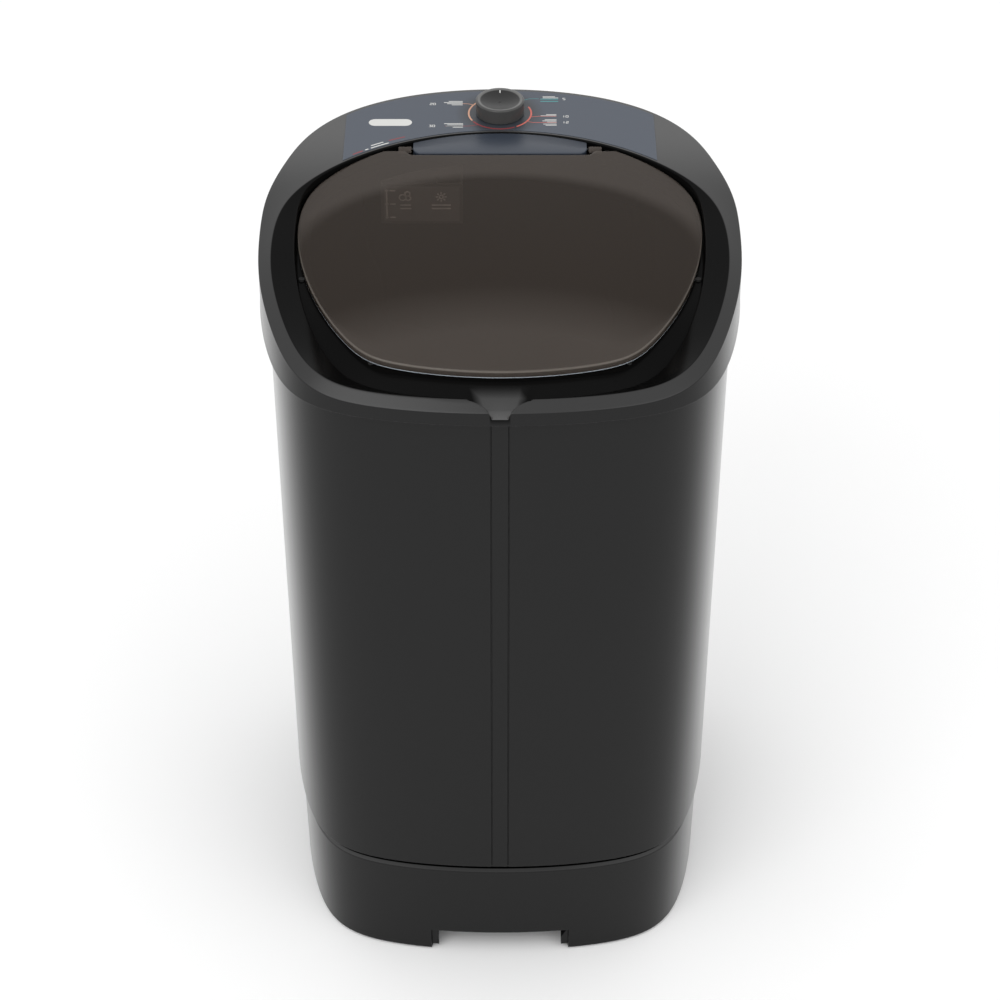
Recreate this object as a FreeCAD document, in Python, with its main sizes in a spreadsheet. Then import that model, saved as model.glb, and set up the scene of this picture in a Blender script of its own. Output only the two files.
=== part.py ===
import FreeCAD, Part
import math
import os
import re

import Sketcher

# Semi-automatic washing machine: tub on a plinth, top frame with lid and timer, belt-driven agitator.
# Millimetres, +Z up, front at -Y, origin on the floor under the middle of the machine.

doc = FreeCAD.newDocument("washing_machine")
sheet = doc.addObject("Spreadsheet::Sheet", "sizes")

SIZES = {
    # plan outline of the frame skirt, the widest part
    "half_width": 295, "half_depth": 307, "front_bow": 846, "side_bow": 727, "outline_power": 12,
    # main heights
    "foot_gap": 3, "base_height": 168, "body_height": 724, "rim_rise": 17, "ridge_rise": 28,
    "panel_rise": 101.5,
    # top frame
    "frame_wall": 3.2, "skirt_draft": 0.061, "chamfer_width": 12.5, "rear_bow": 520, "rear_side_bow": 410,
    "rim_level_start": 27, "rim_level_back": 78.8, "ridge_level_start": 39, "ridge_level_back": 128.8,
    "bend_softness": 8, "recess_least": 7, "recess_softness": 3,
    "panel_depth": 112, "panel_front_bow": 292, "inner_power": 24,
    "funnel_side": 46, "funnel_front": 17, "funnel_rear": 2, "funnel_power": 2.6, "funnel_slope": 0.42,
    "recess_draft": 1.5, "mouth_side": 16.5, "mouth_front": 20, "mouth_rear": 12, "collar_depth": 45,
    "band_height": 12, "rib_width": 9, "rib_height": 16, "rib_depth": 9,
    "spout_mouth": 33, "spout_throat": 11.7, "spout_floor": 8, "spout_fall": 3, "spout_reach": 52, "spout_side": 7,
    # lid
    "lid_side_gap": 2.5, "lid_front_gap": 42, "lid_rear_gap": 6, "lid_power": 2.55, "lid_sheet": 4,
    "lid_skirt": 10, "lid_skirt_wall": 3.5, "lid_seat": 13, "lid_front_drop": 65.5, "lid_rear_drop": 4,
    "lid_crown": 10.3, "lid_gap": 2.5, "skirt_stop": 78.8,
    # hinge
    "hinge_back": 33.8, "hinge_drop": 6, "pin_radius": 1.6, "pin_play": 0.08, "pin_length": 16,
    "arm_width": 6.5, "lid_heel": 9, "arm_radius": 3.5, "cover_half": 109, "cover_depth": 48, "cover_drop": 4,
    "cover_height": 17, "bumper_radius": 3.5, "bumper_stem": 7, "bumper_gap": 1,
    # tub
    "tub_top_inset": 10.3, "tub_bottom_inset": 15.7, "tub_wall": 3.5, "rim_overlap": 8, "tub_flange": 4,
    "flange_gap": 0.4, "foot_flange": 24, "floor_rise": 58, "floor_thick": 4,
    "groove_width": 22.4, "groove_depth": 1.6,
    # plinth
    "base_top_inset": 20.4, "base_bottom_inset": 23.7, "base_wall": 3.5, "base_chamfer": 13,
    "chamfer_run": 6, "deck_width": 25, "deck_thick": 4, "sole_width": 46, "sole_thick": 4,
    "notch_half": 89, "notch_height": 34, "notch_taper": 9, "foot_radius": 17, "foot_height": 9,
    "foot_pin": 5, "foot_inset": 23, "foot_angle": 47,
    # control panel
    "overlay_half": 196, "overlay_edge": 7, "overlay_thick": 0.6, "knob_back": 66, "knob_radius": 30.5,
    "knob_top_radius": 31, "knob_round": 2.5, "knob_rim": 3, "knob_height": 21, "knob_dish": 5,
    "knob_roof": 3, "knob_gap": 0.5, "timer_shaft_radius": 3,
    "timer_half": 29, "timer_height": 36, "timer_ear": 12, "shaft_play": 0.1,
    # dispenser under the rear of the lid
    "dispenser_left": 150, "dispenser_right": 47, "dispenser_depth": 70.8, "dispenser_height": 58,
    "dispenser_top_drop": 34, "dispenser_wall": 2.5, "scale_thick": 0.8, "scale_margin": 4, "seat_gap": 0.3,
    # drive
    "shaft_radius": 8, "bush_play": 0.06, "bush_radius": 15, "press_gap": 0.05, "bush_length": 32,
    "hub_radius": 24, "hub_above": 12, "hub_below": 104, "bearing_flange": 72, "bearing_flange_thick": 8,
    "seal_height": 8, "agitator_radius": 170, "agitator_lift": 10, "agitator_height": 54,
    "fin_count": 6, "fin_thick": 14, "cap_radius": 24, "cap_height": 14,
    "bolt_radius": 3, "pulley_radius": 130, "pulley_level": 60, "pulley_width": 24, "groove_drop": 11,
    "web_thick": 4, "web_holes": 6, "web_hole_radius": 20, "nut_radius": 14, "nut_height": 8,
    "belt_thick": 7.6, "belt_width": 9, "belt_gap": 0.4, "motor_back": 117, "motor_pulley_radius": 28,
    "motor_shaft_radius": 6, "motor_radius": 62, "motor_bottom": 98, "motor_top": 205, "motor_wall": 3.5,
    "rotor_radius": 36.5, "air_gap": 0.5, "core_margin": 14, "bracket_thick": 4, "bracket_half_x": 84,
    "bracket_half_y": 74, "bracket_inset": 14, "post_radius": 9, "motor_bolt_circle": 45,
    "screw_radius": 2, "screw_head": 4, "screw_head_height": 3.5, "screw_play": 0.05,
    "rim_screw_radius": 1.5, "rim_screw_head": 2.6, "sink_depth": 2,
    "capacitor_radius": 20, "capacitor_height": 65, "capacitor_x": 130, "capacitor_y": 90, "clip_wall": 2,
    "clip_height": 20,
    # drain, cable and lint filter
    "drain_x": 160, "drain_y": 140, "drain_radius": 13, "drain_wall": 3, "drain_level": 110,
    "drain_bend": 34, "drain_reach": 5, "spigot_radius": 12, "spigot_length": 26, "drain_flange": 22,
    "drain_stub": 8, "grate_radius": 28,
    "grate_thick": 3, "grate_slots": 5, "cable_radius": 2.2, "cable_bend": 12, "cable_level": 190,
    "cable_play": 1.2, "duct_half": 14, "duct_wall": 2, "duct_margin": 4, "gland_level": 110,
    "gland_radius": 9, "gland_flange": 13, "gland_bore": 4,
    "filter_half": 46, "filter_height": 150, "filter_depth": 10, "filter_level": 440, "filter_play": 0.4,
    "filter_frame": 8, "filter_bars": 9, "holder_wall": 3, "holder_stand": 1.8, "net_thick": 2,
}

for row, (alias, number) in enumerate(SIZES.items(), start=1):
    sheet.set("A%d" % row, alias)
    sheet.set("B%d" % row, str(number))
    sheet.setAlias("B%d" % row, alias)
doc.recompute()

Vector = FreeCAD.Vector
X_AXIS, Y_AXIS, Z_AXIS = Vector(1, 0, 0), Vector(0, 1, 0), Vector(0, 0, 1)
nodes = []


def val(expression):
    """Number that an expression of the sheet's aliases gives."""
    return float(sheet.evalExpression(expression))


def tied(expression):
    """The same expression as another object writes it."""
    return re.sub(r"[a-z][a-z_]+", lambda word: "sizes." + word.group(0), expression)


def bind(item, **cells):
    for place, expression in cells.items():
        item.setExpression(place.replace("__", "."), tied(expression))


def keep(item, label):
    item.Label = label
    nodes.append(item)
    return item


def placed(item, x="0", y="0", z="0"):
    bind(item, Placement__Base__x=x, Placement__Base__y=y, Placement__Base__z=z)
    return item


# Sketched bodies

def origin_plane(body, role):
    return next(feature for feature in body.Origin.OriginFeatures if feature.Role == role)


def sketch_on(body, role, name):
    sketch = body.newObject("Sketcher::SketchObject", name)
    sketch.AttachmentSupport = [(origin_plane(body, role), "")]
    sketch.MapMode = "FlatFace"
    return sketch


def hold(sketch, kind, geometry, position, expression):
    """Hold one coordinate of a sketch point at an expression of the sheet."""
    if expression == "0":
        axis = -2 if kind == "DistanceX" else -1
        sketch.addConstraint(Sketcher.Constraint("PointOnObject", geometry, position, axis))
        return
    rule = Sketcher.Constraint(kind, -1, 1, geometry, position, val(expression))
    index = sketch.addConstraint(rule)
    sketch.setExpression("Constraints[%d]" % index, tied(expression))


def draw_outline(sketch, points):
    corners = [Vector(val(across), val(up), 0) for across, up in points]
    first = sketch.GeometryCount
    count = len(points)
    for k in range(count):
        sketch.addGeometry(Part.LineSegment(corners[k], corners[(k + 1) % count]), False)
    for k in range(count):
        sketch.addConstraint(Sketcher.Constraint("Coincident", first + k, 2, first + (k + 1) % count, 1))
    for k, (across, up) in enumerate(points):
        hold(sketch, "DistanceX", first + k, 1, across)
        hold(sketch, "DistanceY", first + k, 1, up)


def draw_circle(sketch, across, up, radius):
    circle = Part.Circle(Vector(val(across), val(up), 0), Z_AXIS, val(radius))
    geometry = sketch.addGeometry(circle, False)
    hold(sketch, "DistanceX", geometry, 3, across)
    hold(sketch, "DistanceY", geometry, 3, up)
    index = sketch.addConstraint(Sketcher.Constraint("Radius", geometry, val(radius)))
    sketch.setExpression("Constraints[%d]" % index, tied(radius))


def turned(label, points):
    """Body of revolution about Z from a half section of (radius, height) points."""
    body = doc.addObject("PartDesign::Body", label)
    sketch = sketch_on(body, "XZ_Plane", label + "_section")
    draw_outline(sketch, points)
    spin = body.newObject("PartDesign::Revolution", label + "_turn")
    spin.Profile = sketch
    spin.ReferenceAxis = (sketch, ["V_Axis"])
    spin.Angle = 360
    return body


def plate(label, points, circles, thickness):
    """Flat body from an outline with round holes, thickness along Z."""
    body = doc.addObject("PartDesign::Body", label)
    sketch = sketch_on(body, "XY_Plane", label + "_outline")
    draw_outline(sketch, points)
    for circle in circles:
        draw_circle(sketch, *circle)
    pad = body.newObject("PartDesign::Pad", label + "_pad")
    pad.Profile = sketch
    bind(pad, Length=thickness)
    return body


def block(label, length, width, height, x, y, z):
    box = doc.addObject("Part::Box", label)
    bind(box, Length=length, Width=width, Height=height)
    return placed(box, x, y, z)


def rod(label, radius, height, x="0", y="0", z="0"):
    cylinder = doc.addObject("Part::Cylinder", label)
    bind(cylinder, Radius=radius, Height=height)
    return placed(cylinder, x, y, z)


def cut(label, base, tool):
    item = doc.addObject("Part::Cut", label)
    item.Base, item.Tool = base, tool
    item.Refine = False
    return item


def joined(label, items):
    """Items fused one after another."""
    whole = items[0]
    for count, extra in enumerate(items[1:], start=1):
        fuse = doc.addObject("Part::Fuse", "%s_%d" % (label, count))
        fuse.Base, fuse.Tool = whole, extra
        fuse.Refine = False
        whole = fuse
    return whole


def feature(label, shape):
    item = doc.addObject("Part::Feature", label)
    item.Shape = shape
    return item


def cut_each(label, base, tools):
    """Base with the tools taken away one after another."""
    for count, tool in enumerate(tools, start=1):
        base = cut("%s_%d" % (label, count), base, feature("%s_tool_%d" % (label, count), tool))
    return base


def group(label, shape, places):
    """One node of separate like solids at the given placements."""
    copies = []
    for place in places:
        copy = shape.copy()
        copy.Placement = place.multiply(shape.Placement)
        copies.append(copy)
    return feature(label, Part.makeCompound(copies))


# Plan curves: every curve is a reach from the middle of the machine at an angle

SKIRT_Z = val("base_height + body_height")
PANEL_Z = val("base_height + body_height + panel_rise")
PANEL_FRONT = val("half_depth - skirt_draft * panel_rise - panel_depth")
BOW_CENTRE = PANEL_FRONT - val("panel_front_bow")


def soft_least(reaches, power):
    return sum(reach ** -power for reach in reaches) ** (-1 / power)


def bow_reach(half, radius, along):
    """Reach to an arc whose crown stands half away along one direction."""
    centre = radius - half
    return -centre * along + math.sqrt(radius ** 2 - centre ** 2 * (1 - along ** 2))


def outline(angle, inset, round_rear=False):
    """Rounded-square outline: four bows softened into each other, rounder behind where asked."""
    across, deep = math.cos(angle), math.sin(angle)
    depth, width = val("half_depth") - inset, val("half_width") - inset
    front, side = val("front_bow") - inset, val("side_bow") - inset
    rear = val("rear_bow") if round_rear else front
    if round_rear and deep > 0:
        side = val("rear_side_bow")
    reaches = [bow_reach(depth, front, -deep), bow_reach(depth, rear, deep),
               bow_reach(width, side, across), bow_reach(width, side, -across)]
    return soft_least(reaches, val("outline_power"))


def oval(angle, width, depth, power):
    return (abs(math.cos(angle) / width) ** power + abs(math.sin(angle) / depth) ** power) ** (-1 / power)


def rear_arc(angle, radius):
    """Reach to the arc that runs along the front edge of the control panel."""
    across, deep = math.cos(angle), math.sin(angle)
    return BOW_CENTRE * deep + math.sqrt(radius ** 2 - (BOW_CENTRE * across) ** 2)


def bounded(angle, reach, radius):
    return soft_least([reach, rear_arc(angle, radius)], val("inner_power"))


def lid_reach(angle, inset=0):
    width = val("half_width - funnel_side - lid_side_gap") - inset
    depth = val("half_depth - funnel_front - lid_front_gap") - inset
    radius = val("panel_front_bow - lid_rear_gap") - inset
    return bounded(angle, oval(angle, width, depth, val("lid_power")), radius)


def mouth_reach(angle):
    width = val("half_width - funnel_side - lid_side_gap - mouth_side")
    depth = val("half_depth - funnel_front - lid_front_gap - mouth_front")
    radius = val("panel_front_bow - lid_rear_gap - mouth_rear")
    return bounded(angle, oval(angle, width, depth, val("lid_power")), radius)


def rise(y, low, start, end):
    """Height that stays low at the front, bends up at start and eases into the panel at end."""
    soft = val("bend_softness")
    bent = start + soft * math.log1p(math.exp(min((y - start) / soft, 60)))
    left = max(end - bent, 0) / (end - start)
    return PANEL_Z - (PANEL_Z - low) * left ** 2


LID_FRONT = -val("half_depth - funnel_front - lid_front_gap")
LID_REAR = PANEL_FRONT - val("hinge_back") + val("lid_rear_gap")
LID_FRONT_Z = PANEL_Z - val("lid_front_drop")
LID_REAR_Z = PANEL_Z - val("lid_rear_drop")


def lid_height(y):
    """Top of the lid: a straight fall to the front plus a low crown."""
    share = (y - LID_FRONT) / (LID_REAR - LID_FRONT)
    crown = 4 * val("lid_crown") * share * (1 - share)
    return LID_FRONT_Z + (LID_REAR_Z - LID_FRONT_Z) * share + crown


# Rings carried round the machine

SECTIONS = 120


def ring(section):
    """Closed solid through the same (reach, height) section at angles all round, closing at a rear corner."""
    wires = []
    for k in range(SECTIONS):
        angle = 2 * math.pi * k / SECTIONS + math.pi / 4
        corners = [Vector(reach * math.cos(angle), reach * math.sin(angle), z) for reach, z in section(angle)]
        wires.append(Part.makePolygon(corners + corners[:1]))
    return Part.makeLoft(wires, True, False, True)


def closed_curve(reach, z, count=72):
    """Smooth closed wire in plan from a reach function."""
    points = []
    for k in range(count):
        angle = 2 * math.pi * k / count - math.pi / 2
        points.append(Vector(reach(angle) * math.cos(angle), reach(angle) * math.sin(angle), z))
    curve = Part.BSplineCurve()
    curve.interpolate(Points=points, PeriodicFlag=True)
    return Part.Wire([curve.toShape()])


def slab(reach, low, high):
    return Part.Face(closed_curve(reach, low)).extrude(Vector(0, 0, high - low))


def prism_x(points, low, high):
    """Solid of a (depth, height) outline carried along X."""
    corners = [Vector(low, y, z) for y, z in points]
    return Part.Face(Part.makePolygon(corners + corners[:1])).extrude(Vector(high - low, 0, 0))


def prism_z(points, low, high):
    corners = [Vector(x, y, low) for x, y in points]
    return Part.Face(Part.makePolygon(corners + corners[:1])).extrude(Vector(0, 0, high - low))


def at_angle(reach, degrees, z):
    angle = math.radians(degrees)
    return Vector(reach(angle) * math.cos(angle), reach(angle) * math.sin(angle), z)


# Screws

def screw_solid(length, size="screw"):
    """Pan screw pointing up, the underside of its head at the origin."""
    tall = val("screw_head_height")
    head = Part.makeCylinder(val(size + "_head"), tall, Vector(0, 0, -tall))
    return head.fuse(Part.makeCylinder(val(size + "_radius"), length)).removeSplitter()


def screw_holes(places, low, high, size="screw"):
    radius = val(size + "_radius + screw_play")
    return [Part.makeCylinder(radius, high - low, Vector(place.x, place.y, low)) for place in places]


def shifts(places):
    return [FreeCAD.Placement(place, FreeCAD.Rotation()) for place in places]


# Plinth

BASE_TOP = val("base_height")


def base_section(angle):
    foot, sole = val("foot_gap"), val("sole_thick")
    wall, chamfer = val("base_wall"), val("base_chamfer")
    shoulder = BASE_TOP - chamfer - 2
    neck = val("base_top_inset + chamfer_run")
    deck_low = BASE_TOP - val("deck_thick")
    low, high = val("base_bottom_inset"), val("base_top_inset")
    insets = [(low, foot), (high, shoulder), (neck, BASE_TOP - 2), (neck + 2, BASE_TOP),
              (neck + val("deck_width"), BASE_TOP), (neck + val("deck_width"), deck_low),
              (neck + wall, deck_low), (high + wall, shoulder - 2), (low + wall, foot + sole),
              (low + val("sole_width"), foot + sole), (low + val("sole_width"), foot)]
    return [(outline(angle, inset), z) for inset, z in insets]


DECK_SCREW_INSET = val("base_top_inset + chamfer_run + base_wall + screw_head + seat_gap")
BASE_SCREWS = [at_angle(lambda a: outline(a, DECK_SCREW_INSET), angle, BASE_TOP - val("deck_thick"))
               for angle in range(22, 360, 45)]
FEET = [at_angle(lambda a: outline(a, val("base_bottom_inset + foot_inset")), angle, 0)
        for angle in (SIZES["foot_angle"], 180 - SIZES["foot_angle"],
                      180 + SIZES["foot_angle"], 360 - SIZES["foot_angle"])]


def base_wall_y(x, z):
    """Outer face of the plinth's rear wall beside the middle line."""
    share = (z - val("foot_gap")) / (BASE_TOP - val("base_chamfer") - 2 - val("foot_gap"))
    inset = val("base_bottom_inset") + share * val("base_top_inset - base_bottom_inset")
    angle = math.atan2(val("half_depth"), x)
    return outline(angle, inset) * math.sin(angle)


def make_plinth():
    shell = feature("plinth_shell", ring(base_section))
    outer, inner = val("notch_half"), val("notch_half - notch_taper")
    front, top = -val("half_depth"), val("foot_gap + notch_height")
    back = front + val("base_bottom_inset + base_wall")
    deep = back + val("sole_width")
    notch = prism_z([(-outer, front), (outer, front), (outer, -val("half_depth - base_bottom_inset")),
                     (inner, back), (inner, deep), (-inner, deep), (-inner, back),
                     (-outer, -val("half_depth - base_bottom_inset"))], 0, top)
    drain = Part.makeCylinder(val("drain_radius + cable_play"), val("half_depth"),
                              Vector(-val("drain_x"), 0, val("drain_level")), Y_AXIS)
    gland = Part.makeCylinder(val("gland_radius + press_gap"), val("half_depth"),
                              Vector(0, 0, val("gland_level")), Y_AXIS)
    screws = screw_holes(BASE_SCREWS, BASE_TOP - val("deck_thick") - 1, BASE_TOP + 1)
    under = Vector(0, 0, val("foot_gap") - 1)
    pins = [Part.makeCylinder(val("foot_pin + press_gap"), val("sole_thick + 2"), foot + under) for foot in FEET]
    keep(cut_each("plinth_cut", shell, [notch, drain, gland] + screws + pins), "base_plinth")


def make_feet():
    one = turned("foot_form", [("0", "0"), ("foot_radius - 2", "0"), ("foot_radius", "2"),
                               ("foot_radius", "foot_gap"), ("foot_pin", "foot_gap"),
                               ("foot_pin", "foot_height"), ("0", "foot_height")])
    doc.recompute()
    keep(group("feet", one.Shape, shifts(FEET)), "rubber_feet")


# Tub

FLOOR = val("base_height + floor_rise")
UNDER = FLOOR - val("floor_thick")
RIM = SKIRT_Z + val("rim_overlap")


def tub_inset(z):
    share = (z - BASE_TOP) / (RIM - BASE_TOP)
    return val("tub_bottom_inset") + share * val("tub_top_inset - tub_bottom_inset")


def tub_section(angle):
    wall, lip = val("tub_wall"), val("tub_flange")
    edge = val("frame_wall + flange_gap") + val("skirt_draft * rim_overlap")
    low, high = tub_inset(BASE_TOP), tub_inset(RIM)
    neck = tub_inset(RIM - lip)
    insets = [(low, BASE_TOP), (neck, RIM - lip), (edge, RIM - lip), (edge, RIM), (high + wall, RIM),
              (low + wall, BASE_TOP + lip), (low + val("foot_flange"), BASE_TOP + lip),
              (low + val("foot_flange"), BASE_TOP)]
    return [(outline(angle, inset), z) for inset, z in insets]


RIB_ANGLES = (-20, 1.5, 22, 70.5, 109.5, 158, 178.5, 200)
FRAME_SCREWS = [at_angle(lambda a: outline(a, val("tub_top_inset - rim_screw_head - flange_gap")), angle,
                         RIM - val("tub_flange")) for angle in RIB_ANGLES]
MOTOR_E = "half_depth - motor_back"
MOTOR_Y = val(MOTOR_E)
BEARING_SCREWS = [Vector(val("bearing_flange - 12") * math.cos(turn), val("bearing_flange - 12") * math.sin(turn),
                         UNDER - val("bearing_flange_thick")) for turn in
                  (math.pi / 4 + k * math.pi / 2 for k in range(4))]
BRACKET_SCREWS = [Vector(side * val("bracket_half_x - bracket_inset"),
                         MOTOR_Y + end * val("bracket_half_y - bracket_inset"), val("motor_top"))
                  for side in (-1, 1) for end in (-1, 1)]


def make_tub():
    wall = feature("tub_ring", ring(tub_section))
    half_wall = val("tub_wall") / 2
    floor = feature("tub_floor", slab(lambda a: outline(a, tub_inset(FLOOR) + half_wall), UNDER, FLOOR))
    bosses = [Part.makeCylinder(val("post_radius"), val("floor_thick") + 6, Vector(place.x, place.y, UNDER))
              for place in BEARING_SCREWS]
    posts = [Part.makeCylinder(val("post_radius"), FLOOR - val("motor_top + bracket_thick"),
                               Vector(place.x, place.y, val("motor_top + bracket_thick")))
             for place in BRACKET_SCREWS]
    studs = feature("tub_bosses", Part.makeCompound(bosses + posts))
    solid = joined("tub_solid", [wall, floor, studs])
    top_y = -val("half_depth") + tub_inset(RIM) + val("groove_depth")
    low_y = -val("half_depth") + tub_inset(BASE_TOP) + val("groove_depth")
    half = val("groove_width") / 2
    groove = prism_x([(-val("half_depth"), BASE_TOP - 1), (low_y, BASE_TOP - 1), (top_y, RIM - val("tub_flange")),
                      (-val("half_depth"), RIM - val("tub_flange"))], -half, half)
    hub = Part.makeCylinder(val("hub_radius + screw_play"), val("floor_thick + 2"), Vector(0, 0, UNDER - 1))
    drain = Part.makeCylinder(val("drain_radius + screw_play"), val("floor_thick + 2"),
                              Vector(-val("drain_x"), val("drain_y"), UNDER - 1))
    slot = val("cable_radius + cable_play")
    cable = Part.makeBox(2 * slot, val("tub_top_inset"), val("tub_flange + 2"),
                         Vector(-slot, val("half_depth - tub_top_inset"), RIM - val("tub_flange") - 1))
    entry = Part.makeCylinder(slot, val("half_depth"), Vector(0, val("half_depth") / 2, val("cable_level")), Y_AXIS)
    half = val("spout_mouth + spout_side + seat_gap")
    low = SKIRT_Z - val("seat_gap")
    spout = Part.makeBox(2 * half, 2 * val("tub_top_inset"), RIM + 1 - low, Vector(-half, -val("half_depth"), low))
    holes = screw_holes(FRAME_SCREWS, RIM - val("tub_flange") - 1, RIM + 1, "rim_screw")
    holes += screw_holes(BASE_SCREWS, BASE_TOP - 1, BASE_TOP + val("tub_flange") + 1)
    holes += screw_holes(BEARING_SCREWS, UNDER - 1, FLOOR + 3)
    holes += screw_holes(BRACKET_SCREWS, val("motor_top"), FLOOR - 2)
    keep(cut_each("tub_cut", solid, [groove, spout, hub, drain, cable, entry] + holes), "tub_body")


# Top frame

def rim_reach(angle, extra=0):
    """Outer edge of the frame: the skirt leans in as it rises, with a rounder rear."""
    base = outline(angle, 0)
    height = rise(base * math.sin(angle), SKIRT_Z + val("rim_rise"), -val("half_depth - rim_level_start"),
                  PANEL_FRONT - val("rim_level_back"))
    inset = val("skirt_draft") * (height - SKIRT_Z) + extra
    return outline(angle, inset, True), height


def ridge_reach(angle):
    reach = bounded(angle, rim_reach(angle, val("chamfer_width"))[0], val("panel_front_bow"))
    height = rise(reach * math.sin(angle), SKIRT_Z + val("ridge_rise"), -val("half_depth - ridge_level_start"),
                  PANEL_FRONT - val("ridge_level_back"))
    return reach, height


def funnel_reach(angle):
    width, depth = val("half_width - funnel_side"), val("half_depth - funnel_front")
    return bounded(angle, oval(angle, width, depth, val("funnel_power")), val("panel_front_bow - funnel_rear"))


def seat_height(reach, angle):
    return lid_height(reach * math.sin(angle)) - val("lid_seat")


def soft_lower(first, second, softness):
    """Lower of two heights, rounded where they cross."""
    return min(first, second) - softness * math.log1p(math.exp(-abs(first - second) / softness))


def frame_section(angle):
    wall = val("frame_wall")
    foot = outline(angle, 0)
    edge, edge_z = rim_reach(angle)
    ridge, ridge_z = ridge_reach(angle)
    ridge_z = max(ridge_z, edge_z)
    funnel = min(funnel_reach(angle), ridge - 1)
    funnel_z = ridge_z - val("funnel_slope") * (ridge - funnel)
    recess = funnel - val("recess_draft")
    recess_z = soft_lower(seat_height(recess, angle), funnel_z - val("recess_least"), val("recess_softness"))
    mouth = mouth_reach(angle)
    mouth_z = seat_height(mouth, angle)
    drop = val("collar_depth")
    inner = max(ridge, funnel + wall + 1)
    inner_z = edge_z + (ridge_z - edge_z) * (edge - inner) / (edge - ridge) - 1.3 * wall
    band_z = SKIRT_Z + val("band_height")
    band = outline(angle, val("skirt_draft * band_height"))
    return [(foot, SKIRT_Z), (band, band_z), (edge, edge_z), (ridge, ridge_z), (funnel, funnel_z), (recess, recess_z),
            (mouth, mouth_z), (mouth, mouth_z - drop), (mouth + wall, mouth_z - drop), (mouth + wall, mouth_z - wall),
            (recess + wall, recess_z - wall), (funnel + wall, min(funnel_z - wall, inner_z - 0.5)),
            (inner, inner_z), (edge - wall, edge_z - 0.8 * wall), (band - wall, band_z), (foot - wall, SKIRT_Z)]


BUMPER_ANGLES = (200, 235, 305, 340)
BUMPERS = [at_angle(lambda a: lid_reach(a, val("lid_skirt_wall / 2")), angle, 0) for angle in BUMPER_ANGLES]
KNOB_Y = PANEL_FRONT + val("panel_depth - knob_back")
TIMER_SCREWS = [Vector(side * val("timer_half + timer_ear / 2"), KNOB_Y, PANEL_Z) for side in (-1, 1)]


def spout_block():
    """Solid under the drip spout, inside the front of the frame."""
    front = -val("half_depth")
    half = val("spout_mouth + spout_side")
    rim_z, ridge_z = SKIRT_Z + val("rim_rise"), SKIRT_Z + val("ridge_rise")
    ridge_y = front + val("chamfer_width")
    back = front + val("spout_reach")
    floor = seat_height(-back, -math.pi / 2)
    return prism_x([(front + 2.4, SKIRT_Z), (front + 2.6, rim_z - 1), (ridge_y + 2.5, ridge_z - 1.5),
                    (front + val("funnel_front") + 1, ridge_z - 3), (front + val("funnel_front + 3"), floor - 1),
                    (back, floor - 1), (back, SKIRT_Z)], -half, half)


def spout_channel():
    """Tapering channel from the lid recess out over the front of the rim."""
    front = -val("half_depth")
    low = SKIRT_Z + val("spout_floor")
    sections = []
    stations = ((front + val("spout_reach") + 1, val("spout_mouth"), val("spout_fall")),
                (front - 2, val("spout_throat"), 0))
    for y, half, lift in stations:
        base, top = low + lift, PANEL_Z
        corners = [Vector(-half * 0.8, y, base), Vector(half * 0.8, y, base), Vector(half, y, base + 5),
                   Vector(half * 1.15, y, top), Vector(-half * 1.15, y, top), Vector(-half, y, base + 5)]
        sections.append(Part.makePolygon(corners + corners[:1]))
    return Part.makeLoft(sections, True, True)


def frame_ribs():
    """Ribs inside the skirt that stand on the rim of the tub."""
    ribs = []
    for angle in RIB_ANGLES:
        turn = math.radians(angle)
        depth = val("rib_depth")
        edge, edge_z = rim_reach(turn)
        share = (RIM + val("rib_height") - SKIRT_Z) / (edge_z - SKIRT_Z)
        reach = outline(turn, 0) + share * (edge - outline(turn, 0)) - val("frame_wall") / 2
        rib = Part.makeBox(depth, val("rib_width"), val("rib_height"),
                           Vector(reach - depth, -val("rib_width / 2"), RIM))
        rib.rotate(Vector(0, 0, 0), Z_AXIS, angle)
        ribs.append(feature("frame_rib_%d" % len(ribs), rib))
    return ribs


def make_frame():
    shell = feature("frame_ring", ring(frame_section))
    spout = feature("frame_spout", spout_block())
    solid = joined("frame_solid", [shell, spout] + frame_ribs())
    shaft = Part.makeCylinder(val("timer_shaft_radius + shaft_play"), 20, Vector(0, KNOB_Y, PANEL_Z - 10))
    holes = screw_holes(FRAME_SCREWS, RIM - 1, RIM + val("rib_height - 3"), "rim_screw")
    screws = [timer_screw(val("screw_play"), place) for place in TIMER_SCREWS]
    seats = [Part.makeCylinder(val("bumper_radius + screw_play"), 40, place + Vector(0, 0, lid_height(place.y) - 40))
             for place in BUMPERS]
    keep(cut_each("frame_cut", solid, [spout_channel(), shaft] + holes + screws + seats), "top_frame")


def make_frame_screws():
    one = feature("frame_screw", screw_solid(val("tub_flange + rib_height - 5"), "rim_screw"))
    keep(group("frame_screw_set", one.Shape, shifts(FRAME_SCREWS)), "frame_screws")


def make_base_screws():
    one = feature("base_screw", screw_solid(val("deck_thick + tub_flange")))
    keep(group("base_screw_set", one.Shape, shifts(BASE_SCREWS)), "base_screws")


# Lid and hinge

HINGE_Y = PANEL_FRONT - val("hinge_back")
HINGE_Z = PANEL_Z - val("hinge_drop")
COVER_FRONT = PANEL_FRONT - val("cover_depth")


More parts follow.
